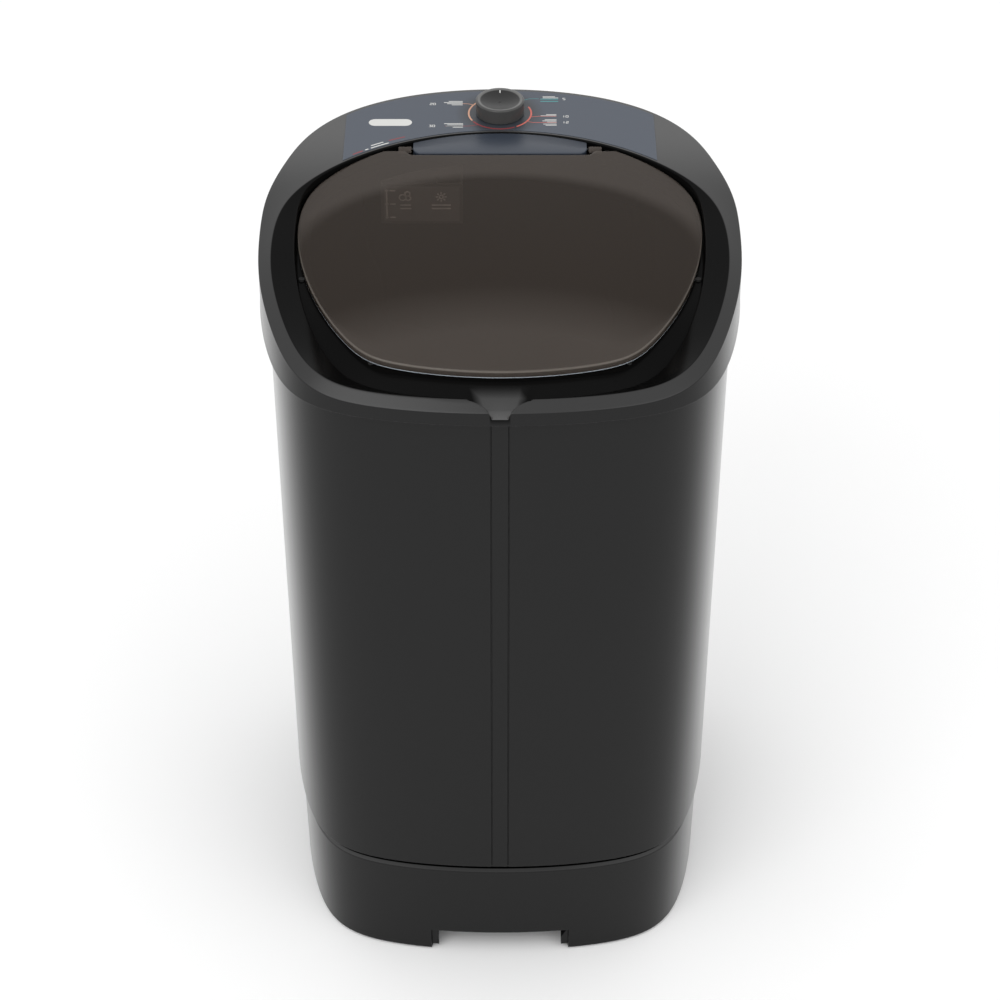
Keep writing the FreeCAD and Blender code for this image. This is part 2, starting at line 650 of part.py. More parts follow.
def lid_band(upper, lower, reach):
    """Crowned band between two depths below the top of the lid, inside a plan curve."""
    stations = [LID_FRONT - 40 + k * (LID_REAR - LID_FRONT + 80) / 12 for k in range(13)]
    half = val("half_width")
    top = [Vector(-half, y, lid_height(y) - upper) for y in stations]
    low = [Vector(-half, y, lid_height(y) - lower) for y in reversed(stations)]
    curves = []
    for row in (top, low):
        curve = Part.BSplineCurve()
        curve.interpolate(row)
        curves.append(curve.toShape())
    ends = [Part.makeLine(top[-1], low[0]), Part.makeLine(low[-1], top[0])]
    face = Part.Face(Part.Wire([curves[0], ends[0], curves[1], ends[1]]))
    band = face.extrude(Vector(2 * half, 0, 0))
    return band.common(slab(reach, SKIRT_Z - 60, PANEL_Z + 60))


def make_lid():
    sheet_solid = lid_band(0, val("lid_sheet"), lid_reach)
    rim = lid_band(val("lid_sheet") / 2, val("lid_skirt"), lid_reach)
    core = slab(lambda a: lid_reach(a, val("lid_skirt_wall")), SKIRT_Z - 60, PANEL_Z + 60)
    wide, tall = 2 * val("half_width"), 200
    behind = Part.makeBox(wide, wide, tall, Vector(-wide / 2, PANEL_FRONT - val("skirt_stop"), SKIRT_Z))
    rim = rim.cut(core).cut(behind)
    notch_half = val("cover_half + lid_gap")
    notch = Part.makeBox(2 * notch_half, wide, tall, Vector(-notch_half, COVER_FRONT - val("lid_gap"), SKIRT_Z))
    sheet_solid = sheet_solid.cut(notch)
    for side in (-1, 1):
        start = side * (notch_half + val("arm_width"))
        near = min(start, start + side * wide)
        corner = Part.makeBox(wide, wide, tall, Vector(near, HINGE_Y - val("lid_heel"), SKIRT_Z))
        sheet_solid = sheet_solid.cut(corner)
    pane = feature("lid_pane", sheet_solid.fuse(rim))
    arms = []
    low, high = HINGE_Z - val("arm_radius"), lid_height(HINGE_Y)
    back = COVER_FRONT
    for side in (-1, 1):
        start = side * notch_half
        end = start + side * val("arm_width")
        near, far = min(start, end), max(start, end)
        web = prism_x([(back, lid_height(back) - 0.5), (back, low + 2), (back + 3, low), (HINGE_Y, low),
                       (HINGE_Y, high)], near, far)
        eye = Part.makeCylinder(val("arm_radius"), far - near, Vector(near, HINGE_Y, HINGE_Z), X_AXIS)
        arms.append(feature("lid_arm_%d" % len(arms), web.fuse(eye)))
    body = joined("lid_solid", [pane] + arms)
    bore = Part.makeCylinder(val("pin_radius + pin_play"), wide, Vector(-wide / 2, HINGE_Y, HINGE_Z), X_AXIS)
    keep(cut("lid_body", body, feature("lid_bore", bore)), "lid")


def make_hinge():
    top_front = PANEL_Z - val("cover_drop")
    low = top_front - val("cover_height")
    half = val("cover_half")
    seat = seat_height(PANEL_FRONT - val("funnel_rear + recess_draft"), math.pi / 2) + val("seat_gap")
    behind = PANEL_FRONT + 5
    cap = prism_x([(COVER_FRONT, seat), (COVER_FRONT, top_front), (behind, PANEL_Z), (behind, seat)], -half, half)
    root = prism_x([(COVER_FRONT, low), (COVER_FRONT, seat + 1), (behind, seat + 1), (behind, low)], -half, half)
    recess = slab(lambda a: funnel_reach(a) - val("recess_draft + seat_gap"), low - 1, PANEL_Z + 1)
    throat = slab(lambda a: mouth_reach(a) - val("seat_gap"), low - 1, PANEL_Z + 1)
    shape = cap.common(recess).fuse(root.common(throat)).removeSplitter()
    cover = feature("hinge_block", shape)
    hole = Part.makeCylinder(val("pin_radius"), 3 * half, Vector(-1.5 * half, HINGE_Y, HINGE_Z), X_AXIS)
    core = Part.makeBox(2 * (half - val("pin_length / 2")), 3 * half, 3 * half,
                        Vector(-half + val("pin_length / 2"), 0, HINGE_Z - half))
    keep(cut("hinge_body", cover, feature("hinge_holes", hole.cut(core))), "hinge_cover")
    pin = Part.makeCylinder(val("pin_radius"), val("pin_length / 2 + lid_gap + arm_width"), Vector(0, 0, 0), X_AXIS)
    right = FreeCAD.Placement(Vector(half - val("pin_length / 2"), HINGE_Y, HINGE_Z), FreeCAD.Rotation())
    left = FreeCAD.Placement(Vector(-half + val("pin_length / 2"), HINGE_Y, HINGE_Z), FreeCAD.Rotation(Z_AXIS, 180))
    keep(group("hinge_pins", pin, [right, left]), "lid_hinge_pins")


def make_bumpers():
    one = rod("bumper_form", "bumper_radius", "bumper_stem + lid_seat - lid_skirt - bumper_gap")
    doc.recompute()
    places = [place + Vector(0, 0, lid_height(place.y) - val("lid_seat + bumper_stem")) for place in BUMPERS]
    keep(group("bumpers", one.Shape, shifts(places)), "lid_bumpers")


# Control panel

def make_overlay():
    low = PANEL_Z
    outer = slab(lambda a: rim_reach(a, val("overlay_edge"))[0], low, low + val("overlay_thick"))
    inner = slab(lambda a: rear_arc(a, val("panel_front_bow") + 3), low - 1, low + 2)
    half = val("overlay_half")
    window = Part.makeBox(2 * half, val("half_depth"), 4, Vector(-half, 0, low - 2))
    shape = outer.cut(inner).common(window)
    shaft = Part.makeCylinder(val("timer_shaft_radius + shaft_play"), 4, Vector(0, KNOB_Y, low - 2))
    keep(cut("overlay", feature("overlay_sheet", shape), feature("overlay_hole", shaft)), "control_overlay")


def make_timer():
    foot = "overlay_thick + knob_gap"
    bore = "timer_shaft_radius + shaft_play / 2"
    inside = "knob_height - knob_dish - knob_roof"
    knob = turned("knob", [(bore, foot), ("knob_radius", foot), ("knob_top_radius", "knob_height - knob_round"),
                           ("knob_top_radius - knob_round", "knob_height"),
                           ("knob_top_radius - knob_round - knob_rim", "knob_height - 1"),
                           ("0", "knob_height - knob_dish"), ("0", inside), (bore, inside)])
    bind(knob, Placement__Base__y="half_depth - skirt_draft * panel_rise - knob_back",
         Placement__Base__z="base_height + body_height + panel_rise")
    keep(knob, "timer_knob")
    shaft = rod("timer_spindle", "timer_shaft_radius", "knob_height - knob_dish - 3.2 + 1.3 * frame_wall",
                y="half_depth - skirt_draft * panel_rise - knob_back",
                z="base_height + body_height + panel_rise - 1.3 * frame_wall")
    keep(shaft, "timer_shaft")
    height = "timer_height"
    half, ear = "timer_half", "timer_half + timer_ear"
    body = plate("timer_case", [("-(timer_half)", "-(timer_half)"), (half, "-(timer_half)"), (half, "-6"),
                                (ear, "-6"),
                                (ear, "6"), (half, "6"), (half, half), ("-(timer_half)", half),
                                ("-(timer_half)", "6"), ("-(timer_half + timer_ear)", "6"),
                                ("-(timer_half + timer_ear)", "-6"), ("-(timer_half)", "-6")],
                 [("timer_half + timer_ear / 2", "0", "screw_radius + screw_play"),
                  ("-(timer_half + timer_ear / 2)", "0", "screw_radius + screw_play")], height)
    bind(body, Placement__Base__y="half_depth - skirt_draft * panel_rise - knob_back",
         Placement__Base__z="base_height + body_height + panel_rise - 1.3 * frame_wall - seat_gap - timer_height")
    keep(body, "timer_body")


def timer_screw(play, place):
    """Countersunk screw down through the panel, its head level with the panel's top."""
    length = 1.4 * val("frame_wall") + 12
    shank = Part.makeCylinder(val("screw_radius") + play, length, place - Vector(0, 0, length))
    sink = val("sink_depth")
    head = Part.makeCone(val("screw_radius") + play, val("screw_head") + play, sink, place - Vector(0, 0, sink))
    return shank.fuse(head).removeSplitter()


def make_timer_screws():
    solids = [timer_screw(0, place) for place in TIMER_SCREWS]
    keep(feature("timer_screw_set", Part.makeCompound(solids)), "timer_screws")


# Dispenser behind the mouth

DISPENSER_FRONT = PANEL_FRONT - val("dispenser_depth")


def dispenser_outline(shrink, z):
    """Straight front, arched back that follows the collar."""
    radius = val("panel_front_bow - lid_rear_gap - mouth_rear - seat_gap") - shrink
    left, right = -val("dispenser_left") + shrink, -val("dispenser_right") - shrink
    front = DISPENSER_FRONT + shrink
    deep = [BOW_CENTRE + math.sqrt(radius ** 2 - x ** 2) for x in (left, (left + right) / 2, right)]
    back = Part.Arc(Vector(right, deep[2], z), Vector((left + right) / 2, deep[1], z), Vector(left, deep[0], z))
    edges = [Part.makeLine(Vector(left, deep[0], z), Vector(left, front, z)),
             Part.makeLine(Vector(left, front, z), Vector(right, front, z)),
             Part.makeLine(Vector(right, front, z), Vector(right, deep[2], z)), back.toShape()]
    return Part.Face(Part.Wire(edges))


def make_dispenser():
    top = PANEL_Z - val("dispenser_top_drop")
    height, wall = val("dispenser_height"), val("dispenser_wall")
    outer = dispenser_outline(0, top - height).extrude(Vector(0, 0, height))
    inner = dispenser_outline(wall, top - height + wall).extrude(Vector(0, 0, height))
    middle = -val("dispenser_left + 2 * dispenser_right") / 3
    divider = Part.makeBox(wall, 200, height - 12, Vector(middle, DISPENSER_FRONT, top - height))
    tray = outer.cut(inner).fuse(divider.common(outer))
    keep(feature("dispenser", tray), "soap_dispenser")
    scale = block("scale", "dispenser_left - dispenser_right - 2 * scale_margin", "scale_thick",
                  "dispenser_height - 2 * scale_margin", "-dispenser_left + scale_margin",
                  "half_depth - skirt_draft * panel_rise - panel_depth - dispenser_depth - scale_thick",
                  "base_height + body_height + panel_rise - dispenser_top_drop - dispenser_height + scale_margin")
    keep(scale, "dosing_scale")


# Drive under the tub

FLOOR_E = "base_height + floor_rise"
UNDER_E = "base_height + floor_rise - floor_thick"


def make_bearing():
    bore = "bush_radius + press_gap"
    foot = UNDER_E + " - hub_below"
    flange = UNDER_E + " - bearing_flange_thick"
    housing = turned("housing", [(bore, foot), ("hub_radius", foot), ("hub_radius + 6", flange + " - 14"),
                                 ("hub_radius + 10", flange), ("bearing_flange", flange),
                                 ("bearing_flange", UNDER_E), ("hub_radius", UNDER_E),
                                 ("hub_radius", FLOOR_E + " + hub_above"), (bore, FLOOR_E + " + hub_above")])
    doc.recompute()
    drills = screw_holes(BEARING_SCREWS, UNDER - val("bearing_flange_thick") - 1, UNDER + 1)
    keep(cut_each("housing_drilled", housing, drills), "bearing_housing")
    one = feature("bearing_screw", screw_solid(val("bearing_flange_thick + floor_thick") + 2))
    keep(group("bearing_screw_set", one.Shape, shifts(BEARING_SCREWS)), "bearing_screws")
    seal_low = FLOOR_E + " + hub_above - seal_height - 1"
    upper_low = seal_low + " - 1 - bush_length"
    for label, low, length in (("shaft_seal", seal_low, "seal_height"), ("upper_bush", upper_low, "bush_length"),
                               ("lower_bush", foot, "bush_length")):
        inner = "shaft_radius + bush_play"
        keep(turned(label, [(inner, low), ("bush_radius", low), ("bush_radius", low + " + " + length),
                            (inner, low + " + " + length)]), label)


AGITATOR_E = FLOOR_E + " + agitator_lift"
HUB_TOP_E = FLOOR_E + " + agitator_lift + agitator_height"


def make_agitator():
    bore = "shaft_radius + bush_play"
    recess = "hub_radius + 10"
    roof = FLOOR_E + " + hub_above + 8"
    body = turned("beater", [(bore, roof), (recess, roof), (recess, AGITATOR_E), ("agitator_radius - 3", AGITATOR_E),
                             ("agitator_radius", AGITATOR_E + " + 3"), ("agitator_radius - 2", AGITATOR_E + " + 7"),
                             ("agitator_radius - 55", AGITATOR_E + " + 15"),
                             ("agitator_radius - 105", AGITATOR_E + " + 27"),
                             ("hub_radius + 12", HUB_TOP_E + " - 6"), ("hub_radius + 6", HUB_TOP_E),
                             (bore, HUB_TOP_E)])
    sketch = sketch_on(body, "XZ_Plane", "fin_outline")
    draw_outline(sketch, [("hub_radius + 4", AGITATOR_E + " + 12"), ("agitator_radius - 8", AGITATOR_E + " + 2"),
                          ("agitator_radius - 8", AGITATOR_E + " + 14"),
                          ("agitator_radius - 20", AGITATOR_E + " + 24"),
                          ("hub_radius + 34", HUB_TOP_E + " - 8"), ("hub_radius + 4", HUB_TOP_E + " - 4")])
    fin = body.newObject("PartDesign::Pad", "fin")
    fin.Profile = sketch
    fin.Midplane = True
    bind(fin, Length="fin_thick")
    doc.recompute()
    fins = body.newObject("PartDesign::PolarPattern", "fins")
    fins.Originals = [fin]
    fins.Axis = (sketch, ["V_Axis"])
    fins.Angle = 360
    bind(fins, Occurrences="fin_count")
    body.Tip = fins
    keep(body, "agitator")
    low = "pulley_level - nut_height - 6"
    keep(turned("main_shaft", [("0", low), ("shaft_radius", low), ("shaft_radius", HUB_TOP_E + " - 2"),
                               ("bolt_radius + screw_play", HUB_TOP_E + " - 2"),
                               ("bolt_radius + screw_play", HUB_TOP_E + " - 26"), ("0", HUB_TOP_E + " - 26")]),
         "agitator_shaft")
    keep(turned("beater_bolt", [("0", HUB_TOP_E + " - 24"), ("bolt_radius", HUB_TOP_E + " - 24"),
                                ("bolt_radius", HUB_TOP_E), ("cap_radius - 8", HUB_TOP_E),
                                ("cap_radius - 8", HUB_TOP_E + " + 2"), ("6", HUB_TOP_E + " + 2"),
                                ("6", HUB_TOP_E + " + 7"), ("0", HUB_TOP_E + " + 7")]), "agitator_bolt")
    keep(turned("beater_cap", [("cap_radius - 3", HUB_TOP_E), ("cap_radius", HUB_TOP_E),
                               ("cap_radius", HUB_TOP_E + " + 5"),
                               ("cap_radius - 8", HUB_TOP_E + " + cap_height - 2"),
                               ("0", HUB_TOP_E + " + cap_height"), ("0", HUB_TOP_E + " + cap_height - 3"),
                               ("cap_radius - 9", HUB_TOP_E + " + cap_height - 5"),
                               ("cap_radius - 3", HUB_TOP_E + " + 4")]), "agitator_cap")


GROOVE_LOW = "pulley_level + pulley_width / 2 - belt_width / 2 - belt_gap"
GROOVE_HIGH = "pulley_level + pulley_width / 2 + belt_width / 2 + belt_gap"


def make_pulleys():
    bore = "shaft_radius + bush_play"
    top = "pulley_level + pulley_width"
    web_low = "pulley_level + pulley_width / 2 - web_thick / 2"
    web_high = "pulley_level + pulley_width / 2 + web_thick / 2"
    rim = "pulley_radius - groove_drop - 7"
    hub = "shaft_radius + 15"
    body = turned("big_pulley", [(bore, "pulley_level - 6"), (hub, "pulley_level - 6"), (hub, web_low),
                                 (rim, web_low), (rim, "pulley_level"), ("pulley_radius", "pulley_level"),
                                 ("pulley_radius", "pulley_level + 2"), ("pulley_radius - groove_drop", GROOVE_LOW),
                                 ("pulley_radius - groove_drop", GROOVE_HIGH), ("pulley_radius", top + " - 2"),
                                 ("pulley_radius", top), (rim, top), (rim, web_high), (hub, web_high),
                                 (hub, top + " + 6"), (bore, top + " + 6")])
    sketch = sketch_on(body, "XY_Plane", "web_hole_circle")
    draw_circle(sketch, "pulley_radius / 2 + 4", "0", "web_hole_radius")
    hole = body.newObject("PartDesign::Pocket", "web_hole")
    hole.Profile = sketch
    hole.Reversed = True
    bind(hole, Length="pulley_level + pulley_width + 10")
    doc.recompute()
    holes = body.newObject("PartDesign::PolarPattern", "web_hole_ring")
    holes.Originals = [hole]
    holes.Axis = (sketch, ["N_Axis"])
    holes.Angle = 360
    bind(holes, Occurrences="web_holes")
    body.Tip = holes
    keep(body, "drive_pulley")
    keep(turned("nut", [("shaft_radius + bush_play", "pulley_level - 6 - nut_height"),
                        ("nut_radius", "pulley_level - 6 - nut_height"), ("nut_radius", "pulley_level - 6"),
                        ("shaft_radius + bush_play", "pulley_level - 6")]), "pulley_nut")
    small = "motor_pulley_radius"
    inner = "motor_shaft_radius + screw_play"
    body = turned("small_pulley", [(inner, "pulley_level - 2"), (small, "pulley_level - 2"),
                                   (small, "pulley_level + 2"), (small + " - groove_drop", GROOVE_LOW),
                                   (small + " - groove_drop", GROOVE_HIGH), (small, top + " - 2"),
                                   (small, top + " + 2"), (inner, top + " + 2")])
    placed(body, y=MOTOR_E)
    keep(body, "motor_pulley")


def belt_loop(big, small, distance, z):
    """Open belt: two arcs and the straight runs that touch both."""
    lean = math.asin((big - small) / distance)
    across, deep = math.cos(lean), math.sin(lean)
    right_big = Vector(big * across, big * deep, z)
    right_small = Vector(small * across, distance + small * deep, z)
    left_big, left_small = Vector(-right_big.x, right_big.y, z), Vector(-right_small.x, right_small.y, z)
    round_big = Part.Arc(left_big, Vector(0, -big, z), right_big).toShape()
    round_small = Part.Arc(right_small, Vector(0, distance + small, z), left_small).toShape()
    runs = [Part.makeLine(right_big, right_small), Part.makeLine(left_small, left_big)]
    return Part.Face(Part.Wire([round_big, runs[0], round_small, runs[1]]))


def make_belt():
    low = val("pulley_level + pulley_width / 2 - belt_width / 2")
    big, small = val("pulley_radius - groove_drop + belt_gap"), val("motor_pulley_radius - groove_drop + belt_gap")
    thick, distance = val("belt_thick"), MOTOR_Y
    face = belt_loop(big + thick, small + thick, distance, low).cut(belt_loop(big, small, distance, low))
    keep(feature("belt", face.extrude(Vector(0, 0, val("belt_width")))), "drive_belt")


def make_motor():
    low, high, wall = "motor_bottom", "motor_top", "motor_wall"
    bore = "motor_shaft_radius + shaft_play"
    nose = "motor_shaft_radius + 12"
    can = turned("motor_can", [(bore, low + " - 7"), (nose, low + " - 7"), (nose, low), ("motor_radius - 3", low),
                               ("motor_radius", low + " + 3"), ("motor_radius", high), ("0", high),
                               ("0", high + " - " + wall), ("motor_radius - motor_wall", high + " - " + wall),
                               ("motor_radius - motor_wall", low + " + " + wall), (bore, low + " + " + wall)])
    placed(can, y=MOTOR_E)
    doc.recompute()
    drills = screw_holes(MOTOR_BOLTS, val("motor_top - motor_wall") - 1, val("motor_top") + 1)
    keep(cut_each("motor_can_drilled", can, drills), "motor_housing")
    inner = "rotor_radius + air_gap"
    outer = "motor_radius - motor_wall - press_gap"
    core_low, core_high = low + " + core_margin", high + " - 2 * core_margin"
    stator = turned("stator", [(inner, core_low), (outer, core_low), (outer, core_high), (inner, core_high)])
    keep(placed(stator, y=MOTOR_E), "motor_stator")
    foot = "pulley_level - 6"
    head = high + " - motor_wall - 1"
    radius = "motor_shaft_radius"
    rotor = turned("rotor", [("0", foot), (radius, foot), (radius, core_low + " + 2"),
                             ("rotor_radius", core_low + " + 2"),
                             ("rotor_radius", core_high + " - 2"), (radius, core_high + " - 2"), (radius, head),
                             ("0", head)])
    keep(placed(rotor, y=MOTOR_E), "motor_rotor")
    wide, deep = "bracket_half_x", "bracket_half_y"
    reach_x, reach_y = wide + " - bracket_inset", deep + " - bracket_inset"
    circles = [(sign_x + "(" + reach_x + ")", sign_y + "(" + reach_y + ")", "screw_radius + screw_play")
               for sign_x in ("-", "") for sign_y in ("-", "")]
    bolt = "motor_bolt_circle * 0.70710678"
    circles += [(sign_x + "(" + bolt + ")", sign_y + "(" + bolt + ")", "screw_radius + screw_play")
                for sign_x in ("-", "") for sign_y in ("-", "")]
    bracket = plate("bracket", [("-(bracket_half_x)", "-(bracket_half_y)"), (wide, "-(bracket_half_y)"), (wide, deep),
                                ("-(bracket_half_x)", deep)], circles, "bracket_thick")
    keep(placed(bracket, y=MOTOR_E, z="motor_top"), "motor_bracket")
    over, level = FreeCAD.Rotation(X_AXIS, 180), Vector(0, 0, val("motor_top + bracket_thick"))
    turned_over = [FreeCAD.Placement(place + level, over) for place in MOTOR_BOLTS]
    bolt_solid = feature("motor_bolt", screw_solid(val("bracket_thick + motor_wall")))
    keep(group("motor_bolt_set", bolt_solid.Shape, turned_over), "motor_bolts")
    one = feature("bracket_screw", screw_solid(val("bracket_thick") + UNDER - val("motor_top + bracket_thick") - 2))
    keep(group("bracket_screw_set", one.Shape, shifts(BRACKET_SCREWS)), "bracket_screws")


MOTOR_BOLTS = [Vector(val("motor_bolt_circle") * math.cos(turn), MOTOR_Y
                      + val("motor_bolt_circle") * math.sin(turn), 0) for turn in
               (math.pi / 4 + k * math.pi / 2 for k in range(4))]


def make_capacitor():
    keep(turned("capacitor_can", [("0", "0"), ("capacitor_radius - 2", "0"), ("capacitor_radius", "2"),
                                  ("capacitor_radius", "capacitor_height - 2"),
                                  ("capacitor_radius - 2", "capacitor_height"), ("0", "capacitor_height")]),
         "capacitor")
    placed(nodes[-1], "capacitor_x", "-capacitor_y", UNDER_E + " - capacitor_height - clip_height / 2")
    x, y = val("capacitor_x"), -val("capacitor_y")
    radius, wall, height = val("capacitor_radius + press_gap"), val("clip_wall"), val("clip_height")
    low = UNDER - 2 * height
    band = Part.makeCylinder(radius + wall, height, Vector(x, y, low))
    hollow = Part.makeCylinder(radius, height, Vector(x, y, low))
    tab = Part.makeBox(wall, height, UNDER - low, Vector(x + radius, y - height / 2, low))
    foot = Part.makeBox(height, height, wall, Vector(x + radius, y - height / 2, UNDER - wall))
    shape = band.fuse([tab, foot]).cut(hollow)
    keep(feature("clip", shape), "capacitor_clip")


# Drain, cable and filter

def pipe(points, radius, bend):
    """Round bar along straight runs joined by tangent arcs of one radius."""
    edges = []
    start = points[0]
    for before, corner, after in zip(points, points[1:], points[2:]):
        inward, outward = (before - corner).normalize(), (after - corner).normalize()
        half_turn = inward.getAngle(outward) / 2
        back = bend / math.tan(half_turn)
        first, last = corner + inward * back, corner + outward * back
        bisector = (inward + outward).normalize()
        middle = corner + bisector * (bend / math.sin(half_turn) - bend)
        edges.append(Part.makeLine(start, first))
        edges.append(Part.Arc(first, middle, last).toShape())
        start = last
    edges.append(Part.makeLine(start, points[-1]))
    path = Part.Wire(edges)
    profile = Part.Wire([Part.makeCircle(radius, points[0], points[1] - points[0])])
    return path.makePipeShell([profile], True, False)


def make_drain():
    x, y, level = -val("drain_x"), val("drain_y"), val("drain_level")
    top = FLOOR + val("drain_stub")
    end = val("half_depth - drain_reach")
    length = val("spigot_length")
    outer = pipe([Vector(x, y, top), Vector(x, y, level), Vector(x, end - length, level)],
                 val("drain_radius"), val("drain_bend"))
    inner = pipe([Vector(x, y, top), Vector(x, y, level), Vector(x, end, level)],
                 val("drain_radius - drain_wall"), val("drain_bend"))
    spigot = Part.makeCylinder(val("spigot_radius"), length, Vector(x, end - length, level), Y_AXIS)
    flange = Part.makeCylinder(val("drain_flange"), 5, Vector(x, y, UNDER - 5))
    keep(feature("elbow", outer.fuse([flange, spigot]).cut(inner)), "drain_elbow")
    nut = turned("ring_nut", [("drain_radius + screw_play", "0"), ("drain_flange", "0"), ("drain_flange", "6"),
                              ("drain_radius + screw_play", "6")])
    keep(placed(nut, "-drain_x", "drain_y", FLOOR_E), "drain_nut")
    disc = Part.makeCylinder(val("grate_radius"), val("grate_thick"), Vector(x, y, top))
    skirt = Part.makeCylinder(val("grate_radius"), top - FLOOR, Vector(x, y, FLOOR))
    skirt = skirt.cut(Part.makeCylinder(val("grate_radius") - 2, top - FLOOR, Vector(x, y, FLOOR)))
    count = int(val("grate_slots"))
    pitch = 2 * val("grate_radius - 6") / count
    slots = []
    for k in range(count):
        offset = (k - (count - 1) / 2) * pitch
        long = math.sqrt(val("grate_radius - 5") ** 2 - offset ** 2)
        slots.append(Part.makeBox(pitch / 2, 2 * long, val("grate_thick"),
                                  Vector(x + offset - pitch / 4, y - long, top)))
    keep(feature("grate", disc.fuse(skirt).cut(Part.makeCompound(slots))), "drain_grate")


def make_cable():
    back = val("half_depth - tub_top_inset + cable_radius + seat_gap")
    timer_low = PANEL_Z - val("1.3 * frame_wall + seat_gap + timer_height")
    level = RIM + val("cable_bend + cable_radius")
    start = KNOB_Y + val("timer_half") / 2
    motor = MOTOR_Y + val("motor_radius + seat_gap")
    route = [Vector(0, start, timer_low), Vector(0, start, level), Vector(0, back, level),
             Vector(0, back, val("cable_level")), Vector(0, motor, val("cable_level"))]
    keep(feature("harness", pipe(route, val("cable_radius"), val("cable_bend"))), "wiring_harness")
    low, high = val("cable_level") - val("cable_bend"), SKIRT_Z - val("duct_margin")
    face = val("half_depth") - 1
    gap = val("seat_gap")
    low_y, high_y = (val("half_depth") - tub_inset(z) + gap for z in (low, high))
    half, wall = val("duct_half"), val("duct_wall")
    outer = prism_x([(low_y, low), (face, low), (face, high), (high_y, high)], -half, half)
    inner = prism_x([(low_y - 9, low + wall), (face - wall, low + wall), (face - wall, high + wall),
                     (high_y - 9, high + wall)], -half + wall, half - wall)
    keep(feature("duct", outer.cut(inner)), "cable_duct")
    level = val("gland_level")
    wall_y = base_wall_y(0, level)
    sleeve = turned("gland", [("gland_bore", "-12"), ("gland_radius", "-12"), ("gland_radius", "0"),
                              ("gland_flange", "0"), ("gland_flange - 2", "6"), ("gland_bore", "6")])
    sleeve.Placement = FreeCAD.Placement(Vector(0, wall_y + val("seat_gap"), level), FreeCAD.Rotation(X_AXIS, -90))
    keep(sleeve, "cord_gland")


def make_filter():
    half, height, depth = val("filter_half"), val("filter_height"), val("filter_depth")
    wall, play, low = val("holder_wall"), val("filter_play"), val("filter_level")
    face = -val("half_width") + tub_inset(low) + val("tub_wall + seat_gap + holder_stand")
    outer = Part.makeBox(depth + 2 * wall, 2 * (half + wall + play), height,
                         Vector(face, -half - wall - play, low))
    slot = Part.makeBox(depth + 2 * play, 2 * (half + play), height,
                        Vector(face + wall - play, -half - play, low + wall))
    window = Part.makeBox(depth + 3 * wall, 2 * (half - 6), height, Vector(face + wall, -half + 6, low + wall + 6))
    keep(feature("holder", outer.cut(slot).cut(window)), "filter_holder")
    frame = Part.makeBox(depth - 2 * play, 2 * half, height, Vector(face + wall, -half, low + wall + play))
    edge = val("filter_frame")
    hole = Part.makeBox(depth, 2 * (half - edge), height - 2 * edge,
                        Vector(face + wall - play, -half + edge, low + wall + edge))
    count = int(val("filter_bars"))
    bars = []
    for k in range(1, count):
        across = -half + edge + 2 * (half - edge) * k / count
        bars.append(Part.makeBox(val("net_thick"), val("net_thick"), height - 2 * edge + 2,
                                 Vector(face + wall + depth / 2 - 2, across, low + wall + edge - 1)))
    net = frame.cut(hole).fuse(bars)
    keep(feature("filter", net), "lint_filter")


make_plinth()
make_feet()
make_tub()
make_frame()
make_frame_screws()
make_base_screws()
make_lid()
make_hinge()
make_bumpers()
make_overlay()
make_timer()
make_timer_screws()
make_dispenser()
make_bearing()
make_agitator()
make_pulleys()
make_belt()
make_motor()
make_capacitor()
make_drain()
make_cable()
make_filter()
doc.recompute()

for item in doc.Objects:
    if "Invalid" in item.State or "Error" in item.State:
        raise RuntimeError("%s failed: %s" % (item.Name, item.State))
for node in nodes:
    if node.Shape.isNull() or not node.Shape.isValid() or not node.Shape.Solids:
        raise RuntimeError("%s has no valid solid" % node.Label)

os.makedirs("parts", exist_ok=True)
for node in nodes:
    node.Shape.exportStep(os.path.join("parts", node.Label + ".step"))
print("%d nodes written" % len(nodes))
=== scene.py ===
import math

import bpy
import numpy as np
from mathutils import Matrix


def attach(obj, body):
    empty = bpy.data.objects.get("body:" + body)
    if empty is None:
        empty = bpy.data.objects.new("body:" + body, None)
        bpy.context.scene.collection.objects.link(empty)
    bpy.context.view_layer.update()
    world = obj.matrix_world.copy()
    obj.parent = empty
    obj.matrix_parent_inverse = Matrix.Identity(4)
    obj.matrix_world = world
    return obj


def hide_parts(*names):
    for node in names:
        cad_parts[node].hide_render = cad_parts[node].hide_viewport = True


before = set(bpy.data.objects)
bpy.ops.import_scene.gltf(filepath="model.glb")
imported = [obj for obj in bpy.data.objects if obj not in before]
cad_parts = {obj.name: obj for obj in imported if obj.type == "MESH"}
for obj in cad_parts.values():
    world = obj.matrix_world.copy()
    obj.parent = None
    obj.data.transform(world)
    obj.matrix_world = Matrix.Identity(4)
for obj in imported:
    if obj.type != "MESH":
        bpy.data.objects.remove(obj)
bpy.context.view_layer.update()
print("frame loaded")

# Camera and light

scene = bpy.context.scene
scene.view_settings.view_transform = "Standard"
view = {"lens": 101.387, "sensor": 36, "place": (0, -2.925094, 2.794903), "tilt": 52.5}


def addObject(name, data):
    # an object at the origin, put into the scene
    thing = bpy.data.objects.new(name, data)
    scene.collection.objects.link(thing)
    return thing


def addCamera():
    # a long lens before the middle of the machine, tilted down
    data = bpy.data.cameras.new("camera")
    data.lens = view["lens"]
    data.sensor_width = view["sensor"]
    data.dof.use_dof = False
    camera = addObject("camera", data)
    camera.location = view["place"]
    camera.rotation_euler = (math.radians(view["tilt"]), 0, 0)
    scene.camera = camera


